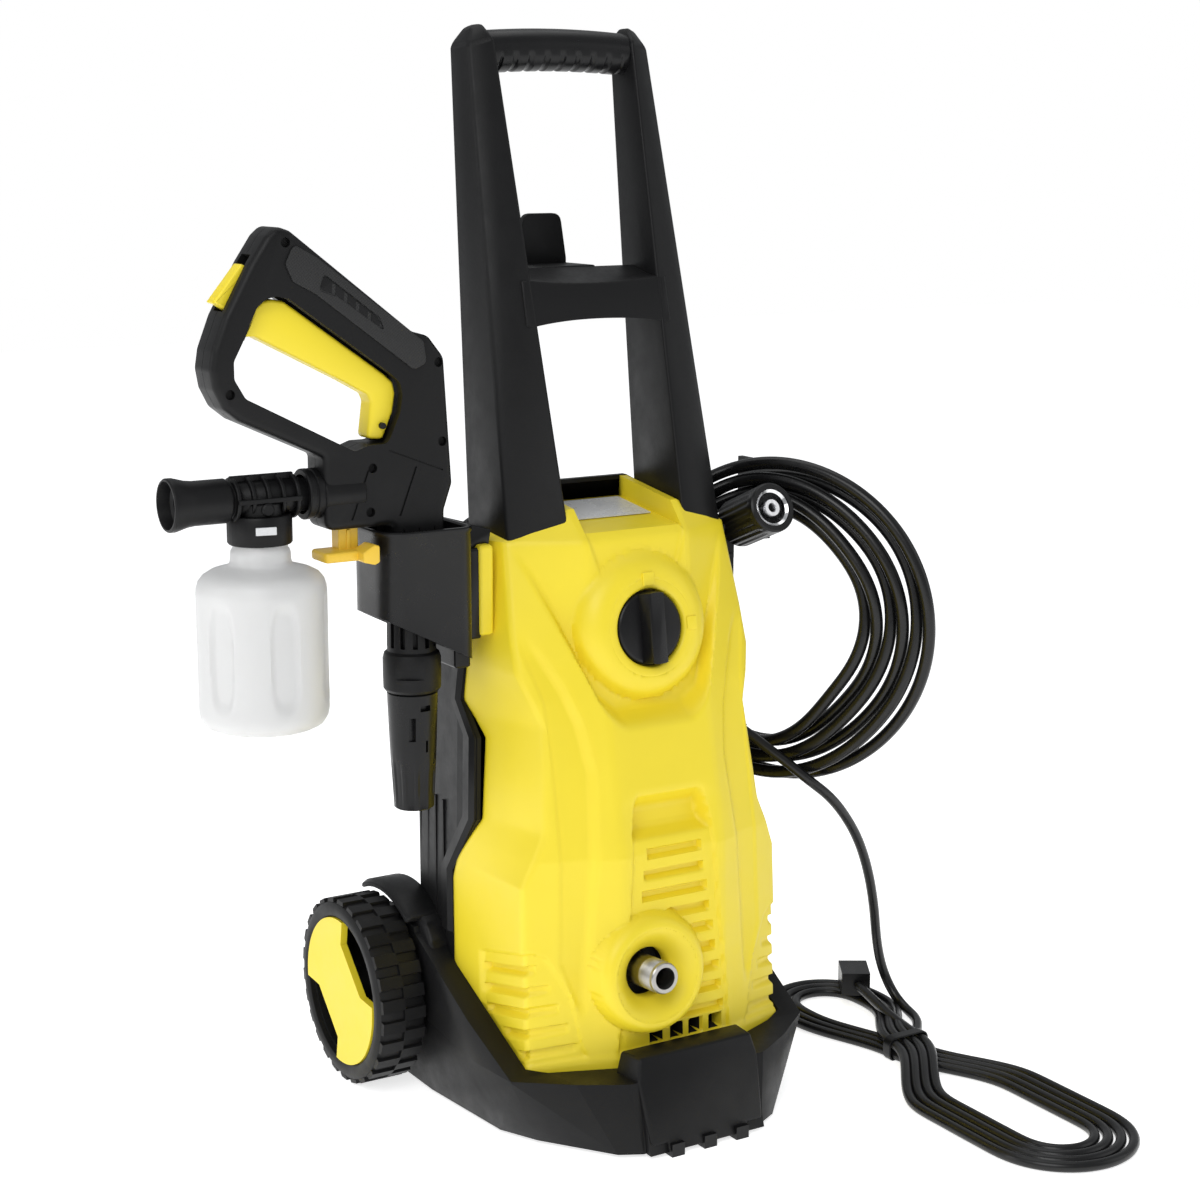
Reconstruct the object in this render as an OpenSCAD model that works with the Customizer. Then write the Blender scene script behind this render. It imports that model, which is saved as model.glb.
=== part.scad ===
// Upright electric pressure washer with its spray gun, foam sprayer, hose and mains lead.
// Millimetres. The floor is z = 0, the front faces -Y, +X is the right-hand side, and the
// origin is the middle of the front foot's rest face on the plane of symmetry.

/* [Housing] */
// Wall thickness of the two housing shells
wall = 3; // [2.6:0.1:3.4]
// Half width of the housing where it enters the base
base_half_w = 107; // [105:1:107]
// Half width of the housing at the shoulders
top_half_w = 98; // [95:1:98]
// Height of the shoulder ridge
ridge_z = 431; // [428:1:432]
// Half width of the label recess between the shoulders
recess_half_w = 38; // [36:1:39]

/* [Handle] */
// Height of the top of the handle legs
handle_top_z = 740; // [730:1:745]
// Radius of the grip sleeve
grip_r = 14.5; // [13:0.5:15]
// Radius of the bar under the grip sleeve
grip_core_r = 8; // [7:0.5:9]

/* [Wheels] */
// Radius of a wheel
wheel_r = 67; // [65:1:67]
// Width of a wheel
wheel_w = 38; // [36:1:38]
// Outer face of a wheel, measured from the plane of symmetry
wheel_out_x = 162; // [162:1:164]
// Radius of the axle rod
axle_r = 5; // [4:0.5:6]

/* [Pump and motor] */
// Radius of the motor can
motor_r = 55; // [50:1:56]
// Radius of the rotor shaft
shaft_r = 6; // [5:0.5:7]
// Radius of a pump piston
piston_r = 7; // [6:0.5:7]
// Stroke of a pump piston
piston_stroke = 6; // [4:0.5:6]

/* [Outlet] */
// Outside radius of the threaded outlet nipple
nipple_r = 11; // [10.8:0.1:11]
// Radius of the outlet's bore
nipple_bore_r = 7.5; // [6:0.5:8]

/* [Switch] */
// Radius of the switch knob
knob_r = 25; // [23:0.5:25]

/* [Spray gun] */
// Thickness of the gun across its two shells
gun_t = 30; // [28:1:30]
// Radius of the brass tube inside the barrel
gun_tube_r = 8; // [7:0.5:8]

/* [Foam sprayer] */
// Radius of the bottle
bottle_r = 43; // [40:0.5:44]
// Wall of the bottle
bottle_wall = 1.6; // [1.4:0.1:2.4]

/* [Hose and lead] */
// Diameter of the high-pressure hose
hose_d = 9.2; // [8.5:0.1:9.5]
// Radius of the coil, to the middle of its turns
coil_r = 100; // [98:1:102]
// Radius of the bundle of turns
bundle_r = 12.5; // [12:0.1:12.5]
// Diameter of the mains lead
lead_d = 7.4; // [7:0.1:8]

/* [Hidden] */
$fn = 64;
fit = 0.05;          // running clearance of a shaft in its bore
gap = 0.3;           // clearance between a solid and the surface it stands against

// Housing: height, front centre y, corner half width, corner y, side half width, back y.
// Every section is a hexagon-like plan, and the shoulders end in a flat ridge.
front_flat = 40;
side_y = 125;
SECTIONS = [
    [27, 8, base_half_w - 3, 34, base_half_w, 222],
    [195, 13, base_half_w - 5, 42, base_half_w - 1, 215],
    [300, 36, 96, 58, base_half_w - 3, 203],
    [402, 61.5, 88, 88, top_half_w, 180]];
RIDGE = [[44, 84], [44, 150]];
// Seam between the front and rear covers, in the YZ plane: a zigzag with a waist
SEAM = [[129, 0], [132, 167], [99, 211], [99, 268], [119, 291], [112, 348], [99, 398], [145, 408],
    [145, 470]];

// Switch: the knob's face centre
KNOB = [0, 43, 343];
knob_tilt = 8;
bezel_r = 34;
bezel_foot_r = 42;
knob_well = 12;
// Outlet: the collar's rim centre and its upward tilt
OUTLET = [-20, 2.6, 114];
outlet_tilt = 5;
collar_r = 40;
collar_hole_r = 17;
nipple_out = 9;      // the nipple's tip stands this far in front of the collar's rim
// Rotary switch and pump share these places
pump_y = 120;
head_z = 80;
casing_z = 126;
motor_z = 178;
motor_top_z = 290;
fan_z = 298;
fan_r = 48;
piston_orbit = 24;
// Water inlet: the flange's seat on the rear cover
INLET = [28, 218, 92];
inlet_r = 13.2;
// Wheels
AXLE = [0, 201.5, wheel_r];
hub_inner_x = wheel_out_x - wheel_w;
// Gun: its plane of symmetry and the barrel's axis
gun_y = 100;
barrel_x = -151;
foam_z = 444;
bottle_x = -256;
// Hose coil: its middle, and how far its plane is turned from the side of the machine
COIL = [154.5, 109.7, 315];
coil_turn = 30;
NUT = [118, 112, 394];
FAR_NUT = [98, 226, 283];
nut_tilt = 22;
// Mains lead: gland, and the route from it to the hank on the floor
GLAND = [104.3, 118.4, 257];
gland_tilt = [0, 35, -40];
gland_len = 24;
LEAD_ROUTE = [[119.2, 105.7, 243.3], [126, 100, 237], [134, 93, 229], [145, 85, 219], [158, 76, 206],
    [176, 76, 192], [194, 80, 174], [212, 85, 150], [228, 92, 120], [240, 99, 88], [249, 105, 56],
    [258, 109, 32], [266, 105, 14], [266, 90, 5], [256, 72, 4], [242, 58, 4], [230, 44, 4]];
// Lead hank on the floor: its tie, and the middle and radius of its two lobes
TIE = [212, 23];
NEAR_LOBE = [206, -144, 52];
FAR_LOBE = [220, 128, 41];
PLUG = [250, 134, 8.1];
NUT_TAIL = [[118, 125.5, 388.4], [118, 133, 387.9], [118.2, 142, 388.2], [117.6, 151, 388.2],
    [115.6, 160, 384.5], [113.2, 168, 377]];
FAR_TAIL = [[98, 226, 297.5], [98, 225.5, 308], [98.5, 222, 322], [99.5, 215, 336], [101, 206, 350]];

// ---------- helpers ----------

module mirror_copy() { children(); mirror([1, 0, 0]) children(); }

// A plate with its outline in the XZ plane, from y0 to y1
module slab_xz(y0, y1) translate([0, y1, 0]) rotate([90, 0, 0]) linear_extrude(y1 - y0) children();

// A plate with its outline in the YZ plane, from x0 to x1
module slab_yz(x0, x1) translate([x0, 0, 0]) rotate([90, 0, 90]) linear_extrude(x1 - x0) children();

// A rod along X
module rod_x(x0, x1, r) translate([x0, 0, 0]) rotate([0, 90, 0]) cylinder(r = r, h = x1 - x0);

// A rod along Z
module rod_z(z0, z1, r) translate([0, 0, z0]) cylinder(r = r, h = z1 - z0);

module ring_z(z0, z1, r_out, r_in) difference() {
    rod_z(z0, z1, r_out);
    rod_z(z0 - 1, z1 + 1, r_in);
}

module ring_x(x0, x1, r_out, r_in) difference() {
    rod_x(x0, x1, r_out);
    rod_x(x0 - 1, x1 + 1, r_in);
}

function mirror_points(p) = concat(p, [for (i = [len(p) - 1:-1:0]) [-p[i][0], p[i][1]]]);

function section_points(s) = mirror_points([[front_flat, s[1]], [s[2], s[3]], [s[4], side_y],
    [s[4] - 4, s[5] - 30], [s[4] * 0.6, s[5]]]);

// A round tube through points, as one closed polyhedron with flat ends
function unit(v) = v / norm(v);
function tangent(p, i) = unit(p[min(i + 1, len(p) - 1)] - p[max(i - 1, 0)]);
function side_of(t) = unit(cross(t, abs(t[2]) > 0.9 ? [1, 0, 0] : [0, 0, 1]));
function ring_at(p, i, r, n) = let (t = tangent(p, i), a = side_of(t), b = cross(t, a))
    [for (k = [0:n - 1]) p[i] + r * (cos(360 * k / n) * a + sin(360 * k / n) * b)];
// Catmull-Rom points between the chosen ones
function spline(p, steps) = [for (i = [0:len(p) - 2]) for (k = [0:steps - 1])
    let (a = p[max(i - 1, 0)], b = p[i], c = p[i + 1], d = p[min(i + 2, len(p) - 1)], t = k / steps)
    0.5 * ((2 * b) + (c - a) * t + (2 * a - 5 * b + 4 * c - d) * t * t
        + (3 * b - a - 3 * c + d) * t * t * t), p[len(p) - 1]];
module tube(p, r, n = 8) {
    m = len(p);
    polyhedron(
        points = [for (i = [0:m - 1]) each ring_at(p, i, r, n)],
        faces = concat(
            [[for (k = [0:n - 1]) k]],
            [for (i = [0:m - 2]) for (k = [0:n - 1])
                [i * n + k, (i + 1) * n + k, (i + 1) * n + (k + 1) % n, i * n + (k + 1) % n]],
            [[for (k = [n - 1:-1:0]) (m - 1) * n + k]]));
}

// ---------- housing ----------

// The housing's outer body, shrunk by inset on every side
module envelope(inset) hull() {
    for (s = SECTIONS)
        translate([0, 0, s[0] + (s[0] < 30 ? (inset > 0 ? -1 : 0) : 0)])
            linear_extrude(0.1) offset(delta = -inset) polygon(section_points(s));
    translate([0, 0, ridge_z - 0.1 - inset]) linear_extrude(0.1) offset(delta = -inset)
        polygon(mirror_points(RIDGE));
}

// The recess between the shoulders: a sloping floor that carries the label
module recess(inset) slab_yz(-recess_half_w - inset, recess_half_w + inset) polygon([
    [0, 398 - inset], [63.6 , 406.5 - inset], [141 + inset, 416.5 - inset], [141 + inset, 480], [0, 480]]);

module shell() difference() {
    envelope(0);
    difference() { envelope(wall); recess(wall); }
    recess(0);
}

module front_zone() slab_yz(-200, 200) polygon(concat([[-50, 0]], SEAM, [[-50, 470]]));

module at_knob() translate(KNOB) rotate([90 - knob_tilt, 0, 0]) children();
module at_outlet() translate(OUTLET) rotate([90 - outlet_tilt, 0, 0]) children();

vent_count = 10;
vent_top_z = 196;
vent_step = 13;
module centre_vents() for (i = [0:vent_count - 1]) {
    z = vent_top_z - vent_step * i;
    half = 22 + 1.7 * i;
    translate([-half, -5, z]) cube([2 * half, 50, 5]);
}
module side_louvres() for (i = [0:4])
    translate([-120, 46 + 5 * i, 124 - 14 * i]) cube([240, 34 - 5 * i, 5]);
module bottom_comb() for (x = [-14:16:34]) translate([x - 4.5, -5, 62]) cube([9, 40, 11]);

module front_cover() color([0.96, 0.84, 0.12]) difference() {
    union() {
        intersection() { shell(); front_zone(); }
        difference() {
            union() {
                at_knob() translate([0, 0, -knob_well - 3])
                    cylinder(r1 = bezel_foot_r, r2 = bezel_r, h = knob_well + 4);
                at_outlet() translate([0, 0, -22]) cylinder(r1 = collar_r + 2, r2 = collar_r - 4, h = 22);
            }
            envelope_behind();
        }
    }
    at_knob() {
        translate([0, 0, -knob_well]) cylinder(r = knob_r + 1, h = 30);
        translate([0, 0, -40]) cylinder(r = 6, h = 40);
    }
    at_outlet() {
        translate([0, 0, -12]) cylinder(r1 = collar_hole_r, r2 = collar_r - 10, h = 12.5);
        translate([0, 0, -60]) cylinder(r = collar_hole_r, h = 62);
    }
    difference() { centre_vents(); at_outlet() translate([0, 0, -60]) cylinder(r = collar_r + 2, h = 80); }
    side_louvres();
    bottom_comb();
}

// Keeps the bosses from standing inside the room for the switch and the pump
module envelope_behind() {
    at_knob() translate([0, 0, -60]) cylinder(r = 60, h = 60 - knob_well - 3);
    at_outlet() translate([0, 0, -70]) cylinder(r = 60, h = 70 - 21);
}

module rear_cover() color([0.06, 0.06, 0.065]) {
    difference() {
        shell();
        front_zone();
        at_gland() rod_x(-20, 10, lead_d / 2 + 0.3);
        at_inlet() rod_z(-20, 20, inlet_r + 1.5);
        at_axle() rod_x(-140, 140, axle_r + gap);
        for (i = [0:6], x = [-34, 10])
            translate([x, 180, 120 + 16 * i]) cube([24, 60, 6]);
    }
}

module at_gland() translate(GLAND) rotate(gland_tilt) children();
module at_inlet() translate(INLET) rotate([-90, 0, 0]) children();

label_t = 0.6;
module rating_label() color([0.82, 0.82, 0.84])
    translate([0, 96, 410.8]) rotate([atan2(10, 77.4), 0, 0]) translate([-33, 0, 0])
        cube([66, 43, label_t]);

// ---------- base ----------

base_bottom_z = 3;
BASE_LOW = [[48, -24], [63, -16], [97, 32], [110, 60], [118, 144], [118, 236]];
BASE_RIM = [[62, -6], [119, 28.7], [123, 80], [123, 236]];
module base_block() hull() {
    translate([0, 0, base_bottom_z]) linear_extrude(0.1) polygon(mirror_points(BASE_LOW));
    translate([0, 0, 50]) linear_extrude(76) polygon(mirror_points(BASE_RIM));
}
// The rim sweeps up from the bumper to the wheel arches
module rim_profile() slab_yz(-140, 140)
    polygon([[-40, 0], [-40, 51], [28.7, 51], [165, 120], [196, 120], [236, 96], [236, 0]]);
module front_plate() slab_yz(-46, 46)
    polygon([[-30, base_bottom_z], [-11, 66], [7, 66], [7, base_bottom_z]]);
module fender() intersection() {
    union() {
        at_axle() ring_x(100, 134, wheel_r + 16, wheel_r + 4);
        at_axle() rod_x(112, hub_inner_x - 1, wheel_r + 10);
    }
    translate([90, 158, 100]) cube([50, 60, 60]);
}
module base() color([0.07, 0.07, 0.075]) {
    difference() {
        union() {
            intersection() { base_block(); rim_profile(); }
            front_plate();
            mirror_copy() fender();
        }
        envelope(-gap);
        translate([0, 0, 8]) linear_extrude(40) offset(delta = -14) polygon(mirror_points(BASE_LOW));
        translate([-100, 40, 8]) cube([200, 184, 200]);
        translate([INLET[0] - 20, 200, 70]) cube([40, 60, 80]);
        at_axle() rod_x(-140, 140, axle_r);
        for (x = [-26:26:26]) translate([x - 5.2, -40, 0]) cube([10.4, 16, 9.2]);
    }
}
module front_foot() color([0.05, 0.05, 0.055]) {
    translate([-36, -14, 0]) cube([72, 28, base_bottom_z]);
    for (x = [-26:26:26]) translate([x - 5, -33, 0]) cube([10, 20, base_bottom_z]);
    for (x = [-26:26:26]) translate([x - 5, -33, 0]) cube([10, 8.5, 9]);
}

// ---------- handle ----------

LEG_LOW = [[46, 77], [85, 89], [87, 140], [80, 152], [46, 140]];
LEG_TOP = [[54, 155], [71, 162], [71, 187], [54, 184]];
module leg() hull() {
    translate([0, 0, 396]) linear_extrude(0.1) polygon(LEG_LOW);
    translate([0, 0, handle_top_z - 14]) linear_extrude(0.1) polygon(LEG_TOP);
    translate([58, 160, handle_top_z - 1]) cube([4, 20, 1]);
}
GRIP = [0, 169, 722];
module handle_frame() color([0.09, 0.09, 0.095]) {
    difference() {
        union() {
            mirror_copy() leg();
            slab_yz(-52, 52) polygon([[108, 541], [115, 573], [150, 578], [150, 574], [119, 569], [112, 541]]);
            translate(GRIP) rod_x(-60, 60, grip_core_r);
        }
        envelope(-0.2);
    }
}
module handle_grip() color([0.05, 0.05, 0.055])
    translate(GRIP) ring_x(-52.5, 52.5, grip_r, grip_core_r);
module cord_hook() color([0.09, 0.09, 0.095]) slab_yz(-18, 18)
    polygon([[150.1, 574], [150.1, 578], [187, 580], [187, 613], [191, 613], [191, 576]]);

// ---------- switch ----------

module switch_knob() color([0.05, 0.05, 0.055]) at_knob() {
    difference() {
        translate([0, 0, -knob_well + 1]) cylinder(r = knob_r, h = knob_well - 1);
        translate([0, 0, -knob_well]) cylinder(r = 4, h = 8);
    }
    translate([-4, -knob_r + 2, 0]) cube([8, 2 * knob_r - 4, 7]);
}
module switch_shaft() color([0.7, 0.7, 0.72]) at_knob() rod_z(-44, -knob_well + 7.9, 4);
module rotary_switch() color([0.12, 0.12, 0.12]) at_knob() difference() {
    translate([-20, -18, -46]) cube([40, 36, 30]);
    rod_z(-44.2, 0, 4 + fit);
}

// ---------- pump and motor ----------

module at_pump() translate([0, pump_y, 0]) children();
module piston_places() for (i = [0:2]) rotate([0, 0, 90 + 120 * i]) translate([piston_orbit, 0, 0]) children();

module outlet_nipple() color([0.62, 0.62, 0.64]) at_outlet() difference() {
    union() {
        rod_z(-70, nipple_out, nipple_r);
        rod_z(-70, -40, nipple_r + 4);
    }
    rod_z(-71, nipple_out + 1, nipple_bore_r);
}
module pump_head() color([0.72, 0.6, 0.3]) difference() {
    union() {
        at_pump() rod_z(head_z, casing_z, 42);
        translate([OUTLET[0] - 19, 62, head_z + 4]) cube([38, 41, casing_z - head_z - 4]);
    }
    at_outlet() rod_z(-71, 0, nipple_r + 4);
    at_outlet() rod_z(-85, -60, nipple_bore_r);
    at_pump() piston_places() rod_z(head_z + 8, casing_z + 1, piston_r + fit);
    at_inlet() rod_z(pump_y + 19 - INLET[1], -40, 8);
}
module pump_casing() color([0.66, 0.67, 0.69]) at_pump() {
    ring_z(casing_z, motor_z, 46, 40);
    ring_z(motor_z - 4, motor_z, 40.1, 14);
}
spring_z = casing_z;
collar_z = 142;
module piston(i) color([0.8, 0.8, 0.82]) at_pump() rotate([0, 0, 90 + 120 * (i - 1)])
    translate([piston_orbit, 0, 0]) {
        rod_z(head_z + 8 + piston_stroke + 1, collar_z + 5, piston_r);
        ring_z(collar_z, collar_z + 3, 12, piston_r - 0.5);
    }
module piston_spring(i) color([0.75, 0.75, 0.78]) at_pump() rotate([0, 0, 90 + 120 * (i - 1)])
    translate([piston_orbit, 0, 0]) ring_z(spring_z, collar_z, 10.5, piston_r + 1);
module piston_1() piston(1);
module piston_2() piston(2);
module piston_3() piston(3);
module piston_spring_1() piston_spring(1);
module piston_spring_2() piston_spring(2);
module piston_spring_3() piston_spring(3);
module swash_plate() color([0.6, 0.6, 0.62]) at_pump() difference() {
    rod_z(149, 168, 36);
    rod_z(140, 180, shaft_r);
    translate([0, 0, 142]) rotate([9, 0, 0]) translate([-60, -60, 0]) cube([120, 120, 8]);
}
module motor_housing() color([0.35, 0.36, 0.38]) at_pump() {
    ring_z(motor_z, motor_top_z, motor_r, 42);
    ring_z(motor_top_z, motor_top_z + 5, motor_r, 14);
}
module motor_bearings() color([0.78, 0.78, 0.8]) at_pump() {
    ring_z(motor_z - 4, motor_z + 5, 13.9, shaft_r + fit);
    ring_z(motor_top_z - 4, motor_top_z + 5, 13.9, shaft_r + fit);
}
module rotor_shaft() color([0.6, 0.6, 0.63]) at_pump() {
    rod_z(150, fan_z + 16, shaft_r);
    ring_z(motor_z + 12, motor_top_z - 12, 40, shaft_r - 0.01);
}
module cooling_fan() color([0.1, 0.1, 0.1]) at_pump() {
    ring_z(fan_z, fan_z + 15, 14, shaft_r);
    ring_z(fan_z, fan_z + 3, fan_r, 13.9);
    for (a = [0:45:315]) rotate([0, 0, a]) translate([13, -1.5, fan_z + 2.9]) cube([fan_r - 14, 3, 12]);
}
module capacitor() color([0.85, 0.85, 0.86]) translate([72, 110, 190]) rod_z(0, 60, 15);
module water_inlet() color([0.72, 0.6, 0.3]) at_inlet() difference() {
    union() { rod_z(-6, 24, inlet_r); rod_z(-6, -3.5, 17); }
    rod_z(-7, 25, 9);
}
module inlet_pipe() color([0.15, 0.15, 0.16]) at_inlet()
    ring_z(pump_y + 22 - INLET[1], -6.2, 7.9, 5.5);
module lead_gland() color([0.05, 0.05, 0.055]) difference() {
    at_gland() translate([-9, 0, 0]) rotate([0, 90, 0]) cylinder(r1 = 9, r2 = 5.2, h = gland_len + 9);
    at_gland() rod_x(-10, gland_len + 1, lead_d / 2);
    envelope(-0.1);
}

// ---------- wheels ----------

module at_axle() translate(AXLE) children();
hub_r = 53;
module wheel() at_axle() rotate([0, 90, 0]) rotate_extrude() polygon([
    [axle_r + fit, hub_inner_x + 4], [14, hub_inner_x + 4], [14, hub_inner_x + 15],
    [hub_r, hub_inner_x + 15], [hub_r, hub_inner_x], [wheel_r - 4, hub_inner_x],
    [wheel_r, hub_inner_x + 4], [wheel_r, wheel_out_x - 5], [wheel_r - 5, wheel_out_x - 0.5],
    [hub_r + 2, wheel_out_x - 0.5], [hub_r + 0.5, wheel_out_x - 2], [hub_r + 0.5, wheel_out_x - 5],
    [hub_r - 2, wheel_out_x - 5], [hub_r - 2, hub_inner_x + 18], [14, hub_inner_x + 18],
    [14, wheel_out_x - 8], [axle_r + fit, wheel_out_x - 8]]);
// The disc has two opposite openings, each from a radial edge to a stepped one
module hub_cap() at_axle() difference() {
    rod_x(wheel_out_x - 5, wheel_out_x, hub_r);
    for (a = [0, 180]) rotate([a, 0, 0]) slab_yz(wheel_out_x - 6, wheel_out_x + 1)
        polygon([[-8, 60], [-4, 36], [-34, 6], [-60, 4], [-60, 60]]);
    rod_x(wheel_out_x - 6, wheel_out_x - 3, 10);
}
module wheel_left() color([0.05, 0.05, 0.055]) mirror([1, 0, 0]) wheel();
module wheel_right() color([0.05, 0.05, 0.055]) wheel();
module hub_cap_left() color([0.96, 0.84, 0.12]) mirror([1, 0, 0]) hub_cap();
module hub_cap_right() color([0.96, 0.84, 0.12]) hub_cap();
module axle() color([0.65, 0.65, 0.67]) at_axle() rod_x(-wheel_out_x + 5.5, wheel_out_x - 5.5, axle_r);
module axle_clips() color([0.7, 0.7, 0.72]) mirror_copy() at_axle()
    ring_x(wheel_out_x - 7.5, wheel_out_x - 6, 9, axle_r);

// ---------- holster and hanger ----------

holster_top_z = 418;
module holster_outline(inset) translate([-150, gun_y]) offset(r = 12 - inset) square([40, 36], center = true);
module gun_holster() color([0.06, 0.06, 0.065]) difference() {
    union() {
        difference() {
            translate([0, 0, 322]) linear_extrude(holster_top_z - 322) holster_outline(0);
            slab_xz(0, 200) polygon([[-190, 366], [-112, 326], [-112, 300], [-190, 300]]);
        }
        translate([-122, 90, 340]) cube([26, 36, 60]);
        slab_xz(92, 96) polygon([[-120, 400], [-96, 400], [-96, 412], [-120, 418]]);
    }
    translate([0, 0, 300]) linear_extrude(200) holster_outline(2.6);
    envelope(-0.2);
}
module hose_hanger() color([0.06, 0.06, 0.065]) difference() {
    union() {
        translate([92, 104, 335]) cube([17, 44, 39]);
        slab_xz(128, 152) polygon([[95, 340], [108, 340], [126, 366], [126, 377], [158, 377],
            [158, 383], [108, 383], [95, 383]]);
        slab_xz(138, 164) polygon([[154, 377], [158, 377], [158, 434], [154, 434]]);
    }
    envelope(-0.2);
}

// ---------- spray gun ----------

GUN = [[-245, 612], [-236, 609], [-153, 544], [-142, 541], [-131, 527], [-126, 445], [-132, 428],
    [-133, 362], [-169, 362], [-169, 419.5], [-212, 422], [-217, 428], [-217, 462], [-215, 467],
    [-273, 494], [-283, 502], [-289, 514], [-291, 526], [-289, 538], [-281, 558], [-263, 590], [-252, 606]];
FINGER_GAP = [[-276, 531], [-276, 520], [-269, 508], [-196, 470.5], [-186, 474], [-173, 474],
    [-164, 493], [-162, 505], [-164, 513], [-171, 519], [-239, 568], [-247, 569.5], [-254, 568],
    [-260, 563], [-270, 542]];
TRIGGER = [[-269, 542], [-258.5, 562.5], [-253, 566.5], [-247, 567.5], [-239, 566], [-171, 517.5],
    [-165, 512], [-163.5, 505], [-165.5, 493], [-173, 476], [-184, 477], [-181, 500], [-183, 505],
    [-200, 514.5], [-259, 545], [-264, 545]];
TRIGGER_PIVOT = [-174, 485];
LOCK_PIVOT = [-264.5, 583];
trigger_pin_r = 2;
lock_pin_r = 1.5;
lock_eye_r = 3.2;
pin_half = 11;       // the pivot pins' half length
trigger_pull = 6;
trigger_t = 16;
LOCK = [[-282, 567], [-264, 588], [-260, 586], [-274, 561]];
LOCK_POCKET = [[-290, 570], [-266, 598], [-252, 588], [-271, 556]];
GUN_SCREWS = [[-240, 602], [-136, 524], [-134, 473], [-184, 459], [-186, 431], [-279, 511]];
clip_rise = 4;

module at_trigger_pivot() translate([TRIGGER_PIVOT[0], gun_y, TRIGGER_PIVOT[1]]) rotate([-90, 0, 0]) children();
module at_lock_pivot() translate([LOCK_PIVOT[0], gun_y, LOCK_PIVOT[1]]) rotate([-90, 0, 0]) children();
module screw_places() for (s = GUN_SCREWS) translate([s[0], 0, s[1]]) rotate([-90, 0, 0]) children();

module gun_cuts() {
    slab_xz(0, 200) polygon(FINGER_GAP);
    for (a = [0:trigger_pull / 4:trigger_pull])
        slab_xz(gun_y - trigger_t / 2 - 0.5, gun_y + trigger_t / 2 + 0.5) offset(delta = 0.6)
            translate(TRIGGER_PIVOT) rotate(-a) translate(-TRIGGER_PIVOT) polygon(TRIGGER);
    slab_xz(gun_y - 6.5, gun_y + 6.5) polygon(LOCK_POCKET);
    translate([barrel_x, gun_y, 0]) rod_z(360, 462, gun_tube_r);
    translate([0, gun_y, foam_z]) rod_x(-230, barrel_x, 8.1);
    screw_places() rod_z(gun_y - gun_t / 2 - 1, gun_y - gun_t / 2 + 6, 3);
    screw_places() rod_z(0, gun_y + 10, 1.5);
    translate([-205, gun_y - 6, 400]) cube([15, 12, 34]);
    at_trigger_pivot() rod_z(-pin_half, pin_half, trigger_pin_r);
    at_lock_pivot() rod_z(-pin_half, pin_half, lock_pin_r);
    grip_insert_block(0.1);
}
module gun_half(y0, y1) difference() {
    slab_xz(y0, y1) polygon(GUN);
    gun_cuts();
}
module gun_shell_front() color([0.06, 0.06, 0.065]) {
    gun_half(gun_y - gun_t / 2, gun_y);
}
module gun_shell_rear() color([0.06, 0.06, 0.065]) {
    gun_half(gun_y, gun_y + gun_t / 2);
}
INSERT = [[-239, 589], [-234, 600], [-219, 591], [-148, 537], [-147, 525], [-154, 522.5], [-221, 572], [-235, 579]];
module grip_insert_block(grow) slab_xz(gun_y - gun_t / 2 - 1, gun_y - gun_t / 2 + 2 + grow)
    offset(delta = grow) polygon(INSERT);
module grip_insert() color([0.03, 0.03, 0.035]) difference() {
    grip_insert_block(0);
    for (i = [0:4]) translate([-200 + 10 * i, gun_y - gun_t / 2 - 2, 563 - 7.2 * i]) rotate([0, 40, 0])
        cube([2, 2, 10]);
}
module gun_tube() color([0.75, 0.62, 0.3]) translate([barrel_x, gun_y, 0])
    ring_z(340, 434, gun_tube_r, 4);
module gun_screws() color([0.3, 0.3, 0.32]) screw_places() {
    rod_z(gun_y - gun_t / 2 + 4, gun_y - gun_t / 2 + 6, 3);
    rod_z(gun_y - gun_t / 2 + 5.9, gun_y + 10, 1.5);
}
module pivot_pins() color([0.6, 0.6, 0.62]) {
    at_trigger_pivot() rod_z(-pin_half, pin_half, trigger_pin_r);
    at_lock_pivot() rod_z(-pin_half, pin_half, lock_pin_r);
}
module trigger() color([0.96, 0.84, 0.12]) difference() {
    slab_xz(gun_y - trigger_t / 2, gun_y + trigger_t / 2) polygon(TRIGGER);
    at_trigger_pivot() rod_z(-pin_half, pin_half, trigger_pin_r + fit);
}
module trigger_lock() color([0.96, 0.84, 0.12]) difference() {
    union() {
        slab_xz(gun_y - 6, gun_y + 6) polygon(LOCK);
        at_lock_pivot() rod_z(-6, 6, lock_eye_r);
    }
    at_lock_pivot() rod_z(-pin_half, pin_half, lock_pin_r + fit);
}
module release_clip() color([0.93, 0.75, 0.1]) {
    translate([-204.5, gun_y - 5.5, 405]) cube([14, 11, 20]);
    translate([-219, gun_y - 16, 402]) cube([33, 26, 5]);
    translate([-190, gun_y - 24, 402]) cube([5, 10, 9]);
}

module at_barrel() translate([barrel_x, gun_y, 0]) children();
module nozzle_adaptor() color([0.05, 0.05, 0.055]) at_barrel() difference() {
    union() {
        rod_z(334, 362, 16);
        rod_z(308, 334, 19);
    }
    rod_z(340, 363, gun_tube_r);
    rod_z(307, 341, 6);
    for (a = [0:30:330]) rotate([0, 0, a]) translate([13, -1.5, 337]) cube([6, 3, 18]);
}
module vario_nozzle() color([0.05, 0.05, 0.055]) at_barrel() {
    difference() {
        translate([0, 0, 228]) cylinder(r1 = 13.5, r2 = 16.8, h = 79.7);
        rod_z(227, 244, 9);
        rod_z(243, 309, 3);
    }
    ring_z(307, 330, 6 - fit, 3);
}

// ---------- foam sprayer ----------

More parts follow.
